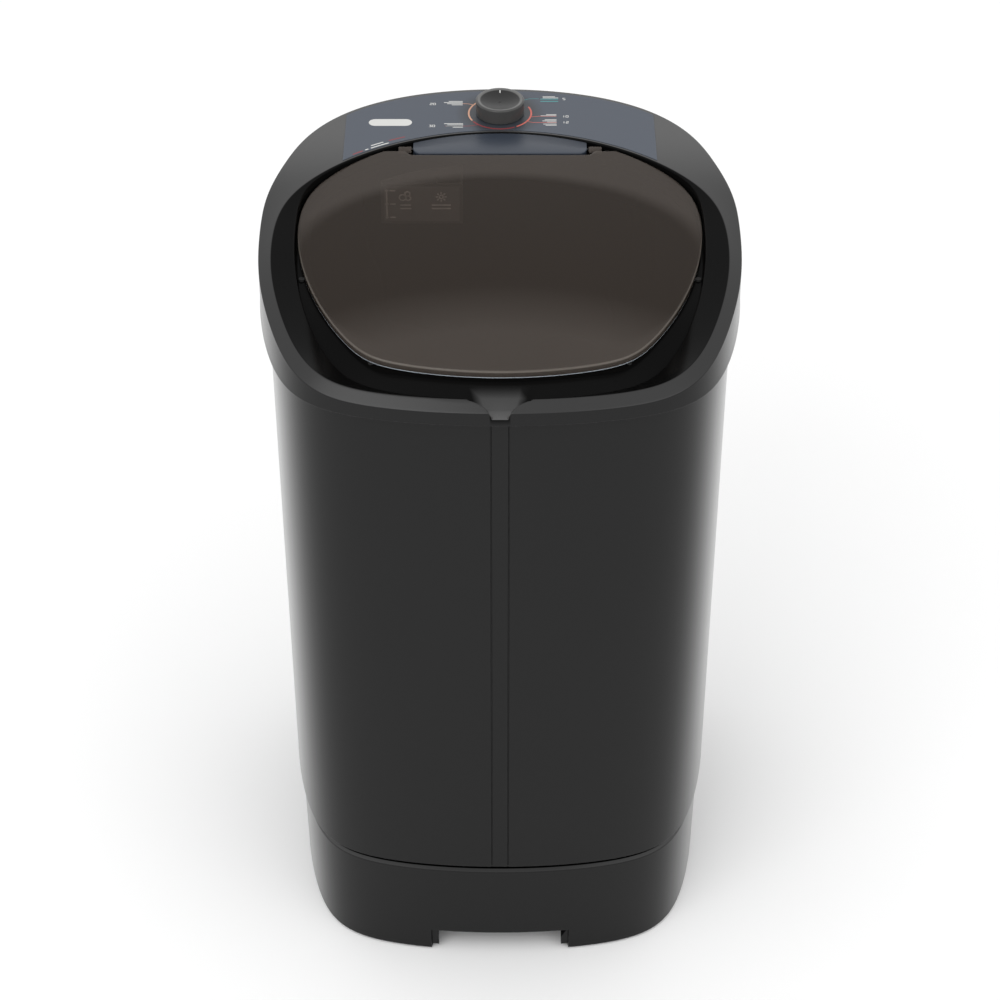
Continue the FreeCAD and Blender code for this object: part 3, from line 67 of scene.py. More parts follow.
def addPanelLight(name, place, target, size, power):
    # an area light turned about the upright axis and tilted until it faces the target
    data = bpy.data.lights.new(name, "AREA")
    data.shape = "RECTANGLE"
    data.size, data.size_y = size
    data.energy = power
    lamp = addObject(name, data)
    lamp.location = place
    aim = np.array(target) - np.array(place)
    flat = math.hypot(aim[0], aim[1])
    lamp.rotation_euler = (math.atan2(flat, -aim[2]), 0, math.atan2(aim[1], aim[0]) - math.pi / 2)


def addWorld():
    world = bpy.data.worlds.new("studio")
    scene.world = world
    world.use_nodes = True
    world.node_tree.nodes["Background"].inputs["Color"].default_value = (1, 1, 1, 1)  # plain white backdrop


addCamera()
addWorld()
addPanelLight("keyLight", (-1.4, -2.6, 3.4), (0, 0, 0.6), (2.4, 2.4), 40)
addPanelLight("fillLight", (1.8, -2.4, 3.0), (0, 0, 0.6), (2.0, 2.0), 12)
print("studio set")

# Meshes from grids

def gridFaces(rows, columns, closeRows, closeColumns):
    # each face joins a grid point with the next in its row and column, wrapped round where they close
    index = np.arange(rows * columns).reshape(rows, columns)
    nextRow = np.roll(index, -1, 0)
    faces = np.stack([index, nextRow, np.roll(nextRow, -1, 1), np.roll(index, -1, 1)], -1)
    faces = faces if closeRows else faces[:-1]
    faces = faces if closeColumns else faces[:, :-1]
    return faces.reshape(-1, 4)


def outward(points, faces):
    # faces are turned over if the volumes between them and the origin add up to less than nothing
    corner = points[faces[:, 0]]
    first = np.cross(points[faces[:, 1]] - corner, points[faces[:, 2]] - corner)
    second = np.cross(points[faces[:, 2]] - corner, points[faces[:, 3]] - corner)
    volume = np.sum(corner * (first + second))
    return faces if volume >= 0 else faces[:, ::-1]


def makePiece(name, shells, body, material, node=None, marks=None):
    # shells become one mesh; a mark is one number for each point, nothing where none is given
    points = np.concatenate([shell[0] for shell in shells])
    starts = np.cumsum([0] + [len(shell[0]) for shell in shells[:-1]])
    faces = np.concatenate([outward(*shell) + start for shell, start in zip(shells, starts)])
    mesh = bpy.data.meshes.new(name)
    mesh.from_pydata((points * 0.001).tolist(), [], faces.tolist())  # millimetres to metres
    mesh.polygons.foreach_set("use_smooth", np.ones(len(faces), bool))
    for mark, values in (marks or {}).items():
        layer = mesh.attributes.new(mark, "FLOAT", "POINT")
        layer.data.foreach_set("value", np.pad(values, (0, len(points) - len(values))).astype(np.float32))
    mesh.materials.append(material)
    piece = addObject(name, mesh)
    weigh = piece.modifiers.new("evenNormals", "WEIGHTED_NORMAL")
    weigh.keep_sharp = True
    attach(piece, body)
    if node:
        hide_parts(node)


def ringShell(angles, section):
    # section rows hold (reach, height) for every angle; angles may differ from row to row
    reach, height = section[..., 0], section[..., 1]
    points = np.stack([reach * np.cos(angles), reach * np.sin(angles), height], -1)
    return points.reshape(-1, 3), gridFaces(points.shape[0], points.shape[1], True, True)


def partWay(corner, other, radius):
    # the point at a radius from a corner along one side, at most 0.45 of the way
    way = other - corner
    length = np.linalg.norm(way, axis=-1, keepdims=True) + 1e-9
    return corner + way / length * np.minimum(radius, 0.45 * length)


def rounded(corners, radii, steps):
    # each corner of the closed section becomes a parabola between two points on its sides
    corners = np.asarray(corners)
    before, after = np.roll(corners, 1, 0), np.roll(corners, -1, 0)
    rows = []
    for corner, back, ahead, radius in zip(corners, before, after, radii):
        if radius == 0:
            rows.append(corner)
            continue
        start, end = partWay(corner, back, radius), partWay(corner, ahead, radius)
        for t in np.linspace(0, 1, steps + 1):
            rows.append((1 - t) ** 2 * start + 2 * t * (1 - t) * corner + t ** 2 * end)
    return np.stack(rows)


def repeated(rows, radii, steps):
    # rows that go with a rounded section, one copy for each of its points
    copies = [steps + 1 if radius else 1 for radius in radii]
    return np.concatenate([np.repeat(row[None], count, 0) for row, count in zip(rows, copies)])


def around(turn):
    # points on a circle of radius one
    return np.stack([np.cos(turn), np.sin(turn)], -1)


def lathe(profile, centre, count=128):
    # a profile of (reach, height) turned round an upright axis
    turn = np.linspace(0, 2 * math.pi, count, endpoint=False)
    reach, height = np.asarray(profile, float).T
    points = np.stack([centre[0] + reach[:, None] * np.cos(turn), centre[1] + reach[:, None] * np.sin(turn),
                       np.broadcast_to(height[:, None], (len(reach), count))], -1)
    return points.reshape(-1, 3), gridFaces(len(reach), count, True, True)


def loftX(stations):
    # closed loops in depth and height, one at each place across, with the two ends drawn in to their middles
    across = [x for x, loop in stations]
    loops = [np.asarray(loop, float) for x, loop in stations]
    loops = [loops[0] * 0 + loops[0].mean(0)] + loops + [loops[-1] * 0 + loops[-1].mean(0)]
    across = [across[0]] + across + [across[-1]]
    rows = [np.concatenate([np.full((len(loop), 1), x), loop], -1) for x, loop in zip(across, loops)]
    points = np.stack(rows)
    return points.reshape(-1, 3), gridFaces(len(loops), len(loops[0]), False, True)


# Plan curves, the same as the solids: four bows softened into a rounded square

plan = {"halfWidth": 295.0, "halfDepth": 307.0, "frontBow": 846.0, "sideBow": 727.0, "power": 12.0,
        "rearBow": 520.0, "rearSideBow": 410.0, "panelFrontBow": 292.0, "innerPower": 24.0, "skirtZ": 892.0,
        "panelZ": 993.5, "panelFront": 188.8085, "draft": 0.061, "softness": 8.0, "knobY": 234.8085}
bowCentre = plan["panelFront"] - plan["panelFrontBow"]


def softLeast(reaches, power):
    # the least of several reaches, rounded where two of them meet
    return sum(reach ** -power for reach in reaches) ** (-1 / power)


def bowReach(half, radius, along):
    # reach from the middle to a bow of one radius, whose crest is half away
    centre = radius - half
    return -centre * along + np.sqrt(radius ** 2 - centre ** 2 * (1 - along ** 2))


def outline(angle, inset, roundRear=False):
    # the rounded square, drawn in by an inset; the frame's rear has rounder bows
    across, deep = np.cos(angle), np.sin(angle)
    depth, width = plan["halfDepth"] - inset, plan["halfWidth"] - inset
    front, side = plan["frontBow"] - inset, plan["sideBow"] - inset
    rear = plan["rearBow"] if roundRear else front
    if roundRear:
        side = np.where(deep > 0, plan["rearSideBow"], side)
    return softLeast([bowReach(depth, front, -deep), bowReach(depth, rear, deep),
                      bowReach(width, side, across), bowReach(width, side, -across)], plan["power"])


def oval(angle, width, depth, power):
    # reach at which the powers of x over width and y over depth add up to one
    return (np.abs(np.cos(angle) / width) ** power + np.abs(np.sin(angle) / depth) ** power) ** (-1 / power)


def rearArc(angle, radius):
    # reach to a circle about the centre of the panel's front bow
    across, deep = np.cos(angle), np.sin(angle)
    return bowCentre * deep + np.sqrt(radius ** 2 - (bowCentre * across) ** 2)


def bounded(angle, reach, radius):
    # a reach that stops softly at the arc along the panel's front
    return softLeast([reach, rearArc(angle, radius)], plan["innerPower"])


def rise(y, low, start, end):
    # level at the front, bent up at start, easing into the panel at end
    bent = start + plan["softness"] * np.log1p(np.exp(np.minimum((y - start) / plan["softness"], 60)))
    left = np.maximum(end - bent, 0) / (end - start)
    return plan["panelZ"] - (plan["panelZ"] - low) * left ** 2


lidSize = {"halfWidth": 246.5, "front": 248.0, "rearBow": 286.0, "power": 2.55, "frontZ": 928.0,
           "rearZ": 989.5, "crown": 10.3, "rearY": 161.0085}


def lidHeight(y):
    # a straight fall to the front with a crown over it
    share = (y + lidSize["front"]) / (lidSize["rearY"] + lidSize["front"])
    fall = lidSize["frontZ"] + (lidSize["rearZ"] - lidSize["frontZ"]) * share
    return fall + 4 * lidSize["crown"] * share * (1 - share)


def lidReach(angle, inset=0.0):
    # one bow at the front and one at each side, with close corners between them
    across, deep = np.cos(angle), np.sin(angle)
    half, front = lidSize["halfWidth"] - inset, lidSize["front"] - inset
    side = lid["sideBow"] - inset
    edge = softLeast([bowReach(front, lid["frontBow"] - inset, -deep), bowReach(half, side, across),
                      bowReach(half, side, -across)], lid["cornerPower"])
    return bounded(angle, edge, lid["rearBow"] - inset)


# Shader groups

def setInputs(node, values):
    # plain values on a node's own sockets
    for label, value in values.items():
        node.inputs[label].default_value = value


def feed(tree, value, place):
    # a socket is linked, a colour gets its fourth value, a number is set as it is
    if hasattr(value, "is_output"):
        tree.links.new(value, place)
    else:
        place.default_value = (*value, 1) if isinstance(value, tuple) else value


def socketMath(tree, kind, first, second=None, third=None):
    # one step of arithmetic on numbers
    node = tree.nodes.new("ShaderNodeMath")
    node.operation = kind
    for value, place in zip((first, second, third), node.inputs):
        if value is not None:
            feed(tree, value, place)
    return node.outputs[0]


def vectorMath(tree, kind, first, second):
    # one step of arithmetic on places or colours
    node = tree.nodes.new("ShaderNodeVectorMath")
    node.operation = kind
    feed(tree, first, node.inputs[0])
    feed(tree, second, node.inputs["Scale" if kind == "SCALE" else 1])
    return node.outputs[0]


def startGroup(name, inputs, outputs):
    # an empty shader group with named sockets
    tree = bpy.data.node_groups.new(name, "ShaderNodeTree")
    for label, kind in inputs:
        tree.interface.new_socket(label, in_out="INPUT", socket_type=kind)
    for label, kind in outputs:
        tree.interface.new_socket(label, in_out="OUTPUT", socket_type=kind)
    return tree, tree.nodes.new("NodeGroupInput"), tree.nodes.new("NodeGroupOutput")


mould = {"slowScale": 6, "slowDetail": 3, "fineDetail": 2, "shade": (0.16, 0.92), "drift": (0.3, 0.85),
         "peelDepth": 0.0002}


def mouldGroup():
    # slow shade drift, roughness drift and a faint orange-peel normal for moulded plastic
    tree, given, result = startGroup(
        "moulded",
        [("Colour", "NodeSocketColor"), ("Roughness", "NodeSocketFloat"), ("Grain", "NodeSocketFloat"),
         ("Peel", "NodeSocketFloat"), ("Stretch", "NodeSocketVector")],
        [("Colour", "NodeSocketColor"), ("Roughness", "NodeSocketFloat"), ("Normal", "NodeSocketVector")])
    place = tree.nodes.new("ShaderNodeTexCoord")
    stretch = vectorMath(tree, "MULTIPLY", place.outputs["Object"], given.outputs["Stretch"])
    slow, fine = tree.nodes.new("ShaderNodeTexNoise"), tree.nodes.new("ShaderNodeTexNoise")
    setInputs(slow, {"Scale": mould["slowScale"], "Detail": mould["slowDetail"]})
    setInputs(fine, {"Detail": mould["fineDetail"]})
    feed(tree, place.outputs["Object"], slow.inputs["Vector"])
    feed(tree, stretch, fine.inputs["Vector"])
    feed(tree, given.outputs["Grain"], fine.inputs["Scale"])
    shade = socketMath(tree, "MULTIPLY_ADD", slow.outputs["Fac"], *mould["shade"])
    tint = vectorMath(tree, "SCALE", given.outputs["Colour"], shade)
    feed(tree, tint, result.inputs["Colour"])
    drift = socketMath(tree, "MULTIPLY_ADD", slow.outputs["Fac"], *mould["drift"])
    rough = socketMath(tree, "MULTIPLY", given.outputs["Roughness"], drift)
    feed(tree, rough, result.inputs["Roughness"])
    bump = tree.nodes.new("ShaderNodeBump")
    setInputs(bump, {"Distance": mould["peelDepth"]})
    feed(tree, given.outputs["Peel"], bump.inputs["Strength"])
    feed(tree, fine.outputs["Fac"], bump.inputs["Height"])
    feed(tree, bump.outputs["Normal"], result.inputs["Normal"])
    return tree


def ringGroup():
    # one inside a ring about an upright axis, fading to nothing over a soft width
    tree, given, result = startGroup(
        "ringMask",
        [("Centre", "NodeSocketVector"), ("Scale", "NodeSocketVector"), ("Inner", "NodeSocketFloat"),
         ("Outer", "NodeSocketFloat"), ("Soft", "NodeSocketFloat")], [("Mask", "NodeSocketFloat")])
    place, length = tree.nodes.new("ShaderNodeTexCoord"), tree.nodes.new("ShaderNodeVectorMath")
    apart = vectorMath(tree, "SUBTRACT", place.outputs["Object"], given.outputs["Centre"])
    length.operation = "LENGTH"
    feed(tree, vectorMath(tree, "MULTIPLY", apart, given.outputs["Scale"]), length.inputs[0])
    reach = length.outputs["Value"]
    sides = []
    for far, near in ((given.outputs["Outer"], reach), (reach, given.outputs["Inner"])):
        share = socketMath(tree, "DIVIDE", socketMath(tree, "SUBTRACT", far, near), given.outputs["Soft"])
        share.node.use_clamp = True
        sides.append(share)
    feed(tree, socketMath(tree, "MULTIPLY", *sides), result.inputs["Mask"])
    return tree


moulded = mouldGroup()
ringMask = ringGroup()


def mixColours(tree, factor, first, second):
    # the first colour at nothing, the second at one
    mix = tree.nodes.new("ShaderNodeMix")
    mix.data_type = "RGBA"
    for value, label in ((factor, "Factor"), (first, "A"), (second, "B")):
        feed(tree, value, mix.inputs[label])
    return mix.outputs["Result"]


def placeGroup(tree, group, values):
    # one copy of a shader group with its own values
    node = tree.nodes.new("ShaderNodeGroup")
    node.node_tree = group
    setInputs(node, values)
    return node


def startMaterial(name):
    # a new material and its main shader
    material = bpy.data.materials.new(name)
    material.use_nodes = True
    return material, material.node_tree.nodes["Principled BSDF"]


def ringIn(tree, centre, scale, inner, outer, soft):
    # mask of a ring, in metres
    values = {"Centre": centre, "Scale": scale, "Inner": inner, "Outer": outer, "Soft": soft}
    return placeGroup(tree, ringMask, values).outputs["Mask"]


def surface(name, colour, roughness, grain=900.0, peel=0.15, metallic=0.0, specular=0.5, stretch=(1, 1, 1),
            rings=(), marks=()):
    # moulded or metal finish; each ring is (centre, inner, outer, soft, colour) laid over the base colour,
    # and each mark is (point attribute, colour, change of specular level); the rings and marks paint
    # highlights and shade
    material, shader = startMaterial(name)
    tree = material.node_tree
    effect = placeGroup(tree, moulded, {"Colour": (*colour, 1), "Roughness": roughness, "Grain": grain,
                                        "Peel": peel, "Stretch": stretch})
    shade = effect.outputs["Colour"]
    for centre, inner, outer, soft, ringColour in rings:
        shade = mixColours(tree, ringIn(tree, centre, (1, 1, 0), inner, outer, soft), shade, ringColour)
    setInputs(shader, {"Specular IOR Level": specular, "Metallic": metallic})
    shine = specular
    for mark, markColour, change in marks:
        layer = tree.nodes.new("ShaderNodeAttribute")
        layer.attribute_name = mark
        shade = mixColours(tree, layer.outputs["Fac"], shade, markColour)
        shine = socketMath(tree, "MULTIPLY_ADD", layer.outputs["Fac"], change, shine)
        feed(tree, shine, shader.inputs["Specular IOR Level"])
    feed(tree, shade, shader.inputs["Base Color"])
    feed(tree, effect.outputs["Roughness"], shader.inputs["Roughness"])
    feed(tree, effect.outputs["Normal"], shader.inputs["Normal"])
    return material


knobPlace = (0.0, plan["knobY"] * 0.001, 0.0)
bodyBlack = surface("bodyBlack", (0.006, 0.006, 0.006), 0.14, peel=0.05, specular=0.2)
# the plinth paints a highlight on its bevel and a shadow under the tub, each with its own specular change
plinthBlack = surface("plinthBlack", (0.006, 0.006, 0.006), 0.14, peel=0.05, specular=0.2,
                      marks=[("crown", (0.03, 0.03, 0.03), 0.15), ("seamShadow", (0.0006, 0.0006, 0.0006), -0.2)])
# the frame paints a reflection on its chamfer and panel and shade on its sunken side, each with its own
# specular change
frameBlack = surface("frameBlack", (0.007, 0.007, 0.0071), 0.2, peel=0.06, specular=0.2,
                     marks=[("crown", (0.05, 0.05, 0.05), 0.32), ("wellShade", (0.0025, 0.0025, 0.0025), -0.15)])
# the darker disc round the knob is painted shade
slate = surface("slate", (0.051, 0.063, 0.086), 0.42,
                rings=[(knobPlace, -1.0, 0.058, 0.016, (0.032, 0.037, 0.046))])
coverSlate = surface("coverSlate", (0.028, 0.037, 0.054), 0.4)
# a painted highlight on the knob's rim and painted shade in its dish
knobGrey = surface("knobGrey", (0.055, 0.055, 0.054), 0.3, specular=0.32,
                   rings=[(knobPlace, 0.0252, 0.0292, 0.0008, (0.13, 0.13, 0.128)),
                          (knobPlace, -1.0, 0.0254, 0.001, (0.01, 0.01, 0.01))])
palePlastic = surface("palePlastic", (0.42, 0.42, 0.41), 0.45)
boxPlastic = surface("boxPlastic", (0.12, 0.12, 0.12), 0.45)
platePlastic = surface("platePlastic", (0.22, 0.22, 0.225), 0.4)
greyPlastic = surface("greyPlastic", (0.28, 0.3, 0.32), 0.45)
steel = surface("steel", (0.55, 0.55, 0.56), 0.3, grain=700, peel=0.25, metallic=1, stretch=(1, 1, 0.08))
darkSteel = surface("darkSteel", (0.03, 0.03, 0.031), 0.4, grain=700, peel=0.2, metallic=1)
rubber = surface("rubber", (0.02, 0.02, 0.02), 0.75, peel=0.4)
brass = surface("brass", (0.6, 0.42, 0.18), 0.3, metallic=1)
alloy = surface("alloy", (0.55, 0.55, 0.57), 0.45, grain=600, peel=0.4, metallic=1)
motorPaint = surface("motorPaint", (0.1, 0.1, 0.11), 0.35)
lamination = surface("lamination", (0.2, 0.2, 0.21), 0.5, peel=0.5, metallic=0.8, stretch=(0.02, 0.02, 1))
canMetal = surface("canMetal", (0.7, 0.7, 0.71), 0.25, grain=700, peel=0.2, metallic=1, stretch=(1, 1, 0.05))
inks = {"white": (0.62, 0.62, 0.6), "peach": (0.62, 0.33, 0.22), "coral": (0.6, 0.13, 0.1),
        "red": (0.24, 0.03, 0.035), "teal": (0.06, 0.26, 0.27)}
inkMaterials = {name: surface(name + "Ink", colour, 0.5, peel=0.05) for name, colour in inks.items()}


# middle is painted shade in the lid's middle; edge and foot are painted highlights on the rounded edge and
# along the skirt's foot
smoke = {"colour": (0.074, 0.061, 0.052), "middle": (0.03, 0.0215, 0.0155), "edge": (0.13, 0.115, 0.1),
         "foot": (0.75, 0.83, 0.92), "through": (0.68, 0.61, 0.56), "roughness": 0.12, "specular": 0.22,
         "density": 0.62, "edgeDensity": 0.33,
         "rearRing": ((0, -0.0726, 0), (0.66, 1, 0), -1, 0.175, 0.016),  # the painted shade changes quickly at the rear
         "frontRing": ((0, -0.6, 0), (1, 1, 0), 0.415, 9, 0.075)}  # the painted shade changes slowly towards the front


def smokedMaterial():
    # smoke-brown clear plastic: painted shade in the middle, a painted highlight along the edge and the
    # skirt's foot, denser there, and clear on the way out
    material, shader = startMaterial("smokedLid")
    tree = material.node_tree
    setInputs(shader, {"Specular IOR Level": smoke["specular"]})
    effect = placeGroup(tree, moulded, {"Colour": (*smoke["colour"], 1), "Roughness": smoke["roughness"]})
    edge, foot = tree.nodes.new("ShaderNodeAttribute"), tree.nodes.new("ShaderNodeAttribute")
    edge.attribute_name, foot.attribute_name = "edge", "foot"
    # painted shade in the middle, then painted highlights on the edge and the skirt's foot
    middle = socketMath(tree, "MULTIPLY", ringIn(tree, *smoke["rearRing"]), ringIn(tree, *smoke["frontRing"]))
    shade = mixColours(tree, middle, effect.outputs["Colour"], smoke["middle"])
    shade = mixColours(tree, edge.outputs["Fac"], shade, smoke["edge"])
    shade = mixColours(tree, foot.outputs["Fac"], shade, smoke["foot"])
    feed(tree, shade, shader.inputs["Base Color"])
    feed(tree, effect.outputs["Roughness"], shader.inputs["Roughness"])
    clear = tree.nodes.new("ShaderNodeBsdfTransparent")
    solid = socketMath(tree, "MAXIMUM", edge.outputs["Fac"], foot.outputs["Fac"])
    side = tree.nodes.new("ShaderNodeNewGeometry")
    entering = socketMath(tree, "SUBTRACT", 1.0, side.outputs["Backfacing"])
    dense = socketMath(tree, "MULTIPLY_ADD", solid, smoke["edgeDensity"], smoke["density"])
    dense = socketMath(tree, "MULTIPLY", entering, dense)
    feed(tree, mixColours(tree, entering, (1, 1, 1), smoke["through"]), clear.inputs["Color"])
    mix = tree.nodes.new("ShaderNodeMixShader")
    feed(tree, dense, mix.inputs["Fac"])
    feed(tree, clear.outputs[0], mix.inputs[1])
    feed(tree, shader.outputs[0], mix.inputs[2])
    feed(tree, mix.outputs[0], tree.nodes["Material Output"].inputs["Surface"])
    return material


smoked = smokedMaterial()
print("materials made")

# Tub: outer wall, rim flange, inner wall, floor and foot flange in one section

tub = {"topInset": 10.3, "bottomInset": 15.7, "wall": 3.5, "low": 168.0, "rim": 900.0, "flange": 4.0,
       "edge": 4.088, "footFlange": 24.0, "floor": 226.0, "floorThick": 4.0, "hub": 24.05, "grooveAt": 10.4,
       "grooveHalf": 1.1, "grooveDepth": 1.2, "flatDepth": 0.25, "notchHalf": 42.0, "notchTop": 893.5,
       "fineSpan": 3.2, "columns": 240, "fineColumns": 121,
       "rounds": (0.8, 2, 0.8, 0.8, 1.5, 14, 0.5, 0.5, 2, 2, 0.8, 0.8), "steps": 4}


def frontAngles(count, fine, span):
    # even angles all round with extra ones each side of the front middle
    even = np.linspace(-math.pi / 2, 1.5 * math.pi, count, endpoint=False)
    close = np.linspace(-span, span, fine) - math.pi / 2
    rest = even[(even > close[-1] + 0.01) & (even < close[0] + 2 * math.pi - 0.01)]
    return np.concatenate([close, rest])


def tubInset(z):
    # a straight taper from the foot to the rim
    share = (z - tub["low"]) / (tub["rim"] - tub["low"])
    return tub["bottomInset"] + share * (tub["topInset"] - tub["bottomInset"])


def tubShells():
    # one closed section carried round the outline, with the grooves and the spout's notch pressed into it
    angles = frontAngles(tub["columns"], tub["fineColumns"], math.radians(tub["fineSpan"]))
    low, rim, floor = tub["low"], tub["rim"], tub["floor"]
    under, lip, wall = floor - tub["floorThick"], tub["flange"], tub["wall"]
    foot = tubInset(low)
    stations = [(foot, low), (tubInset(rim - lip), rim - lip), (tub["edge"], rim - lip), (tub["edge"], rim),
                (tubInset(rim) + wall, rim), (tubInset(floor) + wall, floor), (None, floor), (None, under),
                (tubInset(under) + wall, under), (foot + wall, low + lip),
                (foot + tub["footFlange"], low + lip), (foot + tub["footFlange"], low)]
    rows = []
    for inset, z in stations:
        reach = np.full_like(angles, tub["hub"]) if inset is None else outline(angles, inset)
        rows.append(np.stack([reach, np.full_like(angles, z)], -1))
    section = rounded(rows, tub["rounds"], tub["steps"])
    x = section[..., 0] * np.cos(angles)
    front = np.sin(angles) < -0.9
    outer = (np.arange(len(section)) < 9)[:, None] & front  # the outer wall's rows
    # a shallow flat between two narrow grooves
    groove = np.clip(1 - np.abs(np.abs(x) - tub["grooveAt"]) / tub["grooveHalf"], 0, 1) ** 0.5
    flat = np.where(np.abs(x) < tub["grooveAt"], tub["flatDepth"], 0)
    section[..., 0] -= np.maximum(groove * tub["grooveDepth"], flat) * outer
    cutAway = (np.abs(x) < tub["notchHalf"]) & front  # the rim is lower under the spout
    section[..., 1] = np.where(cutAway, np.minimum(section[..., 1], tub["notchTop"]), section[..., 1])
    return [ringShell(angles, section)]


makePiece("tubShell", tubShells(), "machine", bodyBlack, "tub_body")
print("tub made")

# Plinth with a chamfered top and the cut-out at the front

# three of these values grade the bevel's painted highlight, paler round the corners
plinth = {"foot": 3.0, "top": 168.0, "bottomInset": 23.7, "topInset": 20.4, "wall": 3.5, "shoulder": 153.0,
          "run": 6.0, "deck": 25.0, "deckThick": 4.0, "sole": 46.0, "soleThick": 4.0, "notchHalf": 89.0,
          "notchTop": 37.0, "notchSpan": 19.5, "notchGap": 2.5, "taper": 9.0, "lean": 0.748,
          "seamShares": (0.36, 0.4), "highlightFrom": 0.25, "highlightOver": 0.45, "highlightLeast": 0.45, "columns": 220,
          "notchColumns": 14, "rounds": (1.2, 2, 0, 0, 1, 1, 1, 1, 1, 2, 1, 1, 1), "steps": 4}


def plinthShells():
    # one closed section carried round the outline; in the cut-out's columns its lower rows are lifted
    p = plinth
    neck = p["topInset"] + p["run"]
    soleIn, soleTop = p["bottomInset"] + p["sole"], p["foot"] + p["soleThick"]
    bevel = [(p["topInset"] + p["run"] * share, p["shoulder"] + (p["top"] - 2 - p["shoulder"]) * share)
             for share in p["seamShares"]]
    deckUnder = p["top"] - p["deckThick"]
    stations = [(p["bottomInset"], p["foot"]), (p["topInset"], p["shoulder"]), *bevel, (neck, p["top"] - 2),
                (neck + 2, p["top"]), (neck + p["deck"], p["top"]), (neck + p["deck"], deckUnder),
                (neck + p["wall"], deckUnder), (p["topInset"] + p["wall"], p["shoulder"] - 2),
                (p["bottomInset"] + p["wall"], soleTop), (soleIn, soleTop), (soleIn, p["foot"])]
    inner = np.repeat([0, 1], [8, 5])  # the outer rows, then those inside the wall
    # columns: even angles outside the cut-out, two at each side of it and a few between
    half = math.radians(p["notchSpan"])
    even = np.linspace(-math.pi / 2 + half, 1.5 * math.pi - half, p["columns"])
    lifted = np.concatenate([np.zeros(len(even)), [0], np.ones(p["notchColumns"]), [0]])
    rows, angleRows = [], []
    for (inset, z), inside in zip(stations, inner):
        reach = outline(np.full(1, -math.pi / 2), inset)[0]
        side = p["notchHalf"] - p["taper"] * inside
        gap = 0.0 if z < p["notchTop"] else p["notchGap"]
        across = np.concatenate([[-side - gap], np.linspace(-side, side, p["notchColumns"]), [side + gap]])
        angles = np.concatenate([even, np.arcsin(across / reach) - math.pi / 2])
        if z < p["notchTop"]:
            inset = np.where(lifted > 0, min(inset, p["bottomInset"] + p["wall"]) - p["lean"], inset)
            z = np.where(lifted > 0, p["notchTop"], z)
        else:
            z = np.full(len(angles), z)
        rows.append(np.stack([outline(angles, inset), z], -1))
        angleRows.append(angles)
    order = repeated([np.full(len(angles), k) for k in range(len(rows))], p["rounds"], p["steps"])
    chamfer = (order == 2).astype(float)
    chamfer[np.flatnonzero(order[:, 0] == 1)[3:]] = 1
    turned = repeated(angleRows, p["rounds"], p["steps"])
    # painted highlight on the bevel, paler round the corners than in front, and painted shadow under the
    # tub's overhang
    corner = np.clip((np.abs(np.cos(turned)) - p["highlightFrom"]) / p["highlightOver"], 0, 1)
    pale = chamfer * (p["highlightLeast"] + (1 - p["highlightLeast"]) * corner)
    seamShadow = ((order > 2) & (order < 6)).astype(float)
    marks = {"crown": pale.ravel(), "seamShadow": seamShadow.ravel()}
    return [ringShell(turned, rounded(rows, p["rounds"], p["steps"]))], marks


plinthShell, plinthMarks = plinthShells()
makePiece("plinthShell", plinthShell, "machine", plinthBlack, "base_plinth", plinthMarks)
print("plinth made")

# Top frame: skirt, chamfer, funnel, recess, ledge and collar, with the drip spout at the front

# three of these values grade the painted reflection on the chamfer and panel, from front to rear
top = {"rimRise": 17.0, "ridgeRise": 28.0, "chamfer": 12.5, "rimStart": 27.0, "rimEnd": 110.0085,
       "ridgeStart": 39.0, "ridgeEnd": 60.0085, "wall": 3.2, "band": 12.0, "funnelSide": 46.0,
       "funnelFront": 17.0, "funnelRear": 2.0, "funnelPower": 2.6, "slope": 0.42, "recessDraft": 1.5,
       "seat": 13.0, "recessLeast": 7.0, "recessSoft": 3.0, "mouthSide": 16.5, "mouthFront": 20.0,
       "mouthRear": 12.0, "collar": 45.0, "swell": 4.5, "swellAt": (68.0, 111.0), "swellWide": (15.0, 14.0),
       "ledgeShares": (0.25, 0.5, 0.56), "shares": (0.12, 0.25, 0.4, 0.55, 0.7, 0.85), "edgeRow": 2,
       "ridgeRow": 9, "underRow": 17, "reflectionFrom": 30.0, "reflectionOver": 170.0, "reflectionLeast": 0.35,
       "columns": 330, "rounds": (1, 0, 1.2, 0, 0, 0, 0, 0, 0, 1.4, 1.2, 2, 0, 0, 0, 2.5,
                                  1.2, 1.2, 2, 0, 0, 2, 2, 1, 1, 0, 1), "steps": 5}
# the shine values shape a painted highlight in the channel; one depth limits a painted shadow on its sides
spout = {"mouth": 33.0, "throat": 11.7, "floor": 9.0, "fall": 14.0, "reach": 52.0, "bell": 13.5,
         "bellPower": 2.4, "flare": 0.5, "ramp": 18.0, "span": 15.0, "shine": 50.0, "shineFade": 10.0,
         "shineLoss": 0.4, "narrowFrom": 15.0, "shadowTo": 24.0, "wing": 1.25, "most": 1.4,
         "shares": (1.15, 1.05, 0.95, 0.85, 0.75, 0.5, 0.25, 0.0),  # places across, of the half width
         "sunk": (0.0, 0.12, 0.5, 0.88, 1.0, 1.0, 1.0, 1.0)}  # how far each goes down to the floor


def rimReach(angle, extra=0.0):
    # the frame's upper edge, a little fuller before each side's middle and slimmer behind it
    y = outline(angle, 0) * np.sin(angle)
    height = rise(y, plan["skirtZ"] + top["rimRise"], top["rimStart"] - plan["halfDepth"], top["rimEnd"])
    turn = np.degrees(np.arccos(-np.sin(angle)))
    full, slim = [np.exp(-((turn - at) / wide) ** 2) for at, wide in zip(top["swellAt"], top["swellWide"])]
    reach = outline(angle, plan["draft"] * (height - plan["skirtZ"]) + extra, True)
    return reach + top["swell"] * full - top["swell"] * slim, height


def mouthReach(angle):
    # the opening under the lid: an oval that stops at an arc along the panel
    width = lidSize["halfWidth"] - top["mouthSide"]
    return bounded(angle, oval(angle, width, lidSize["front"] - top["mouthFront"], lidSize["power"]),
                   lidSize["rearBow"] - top["mouthRear"])


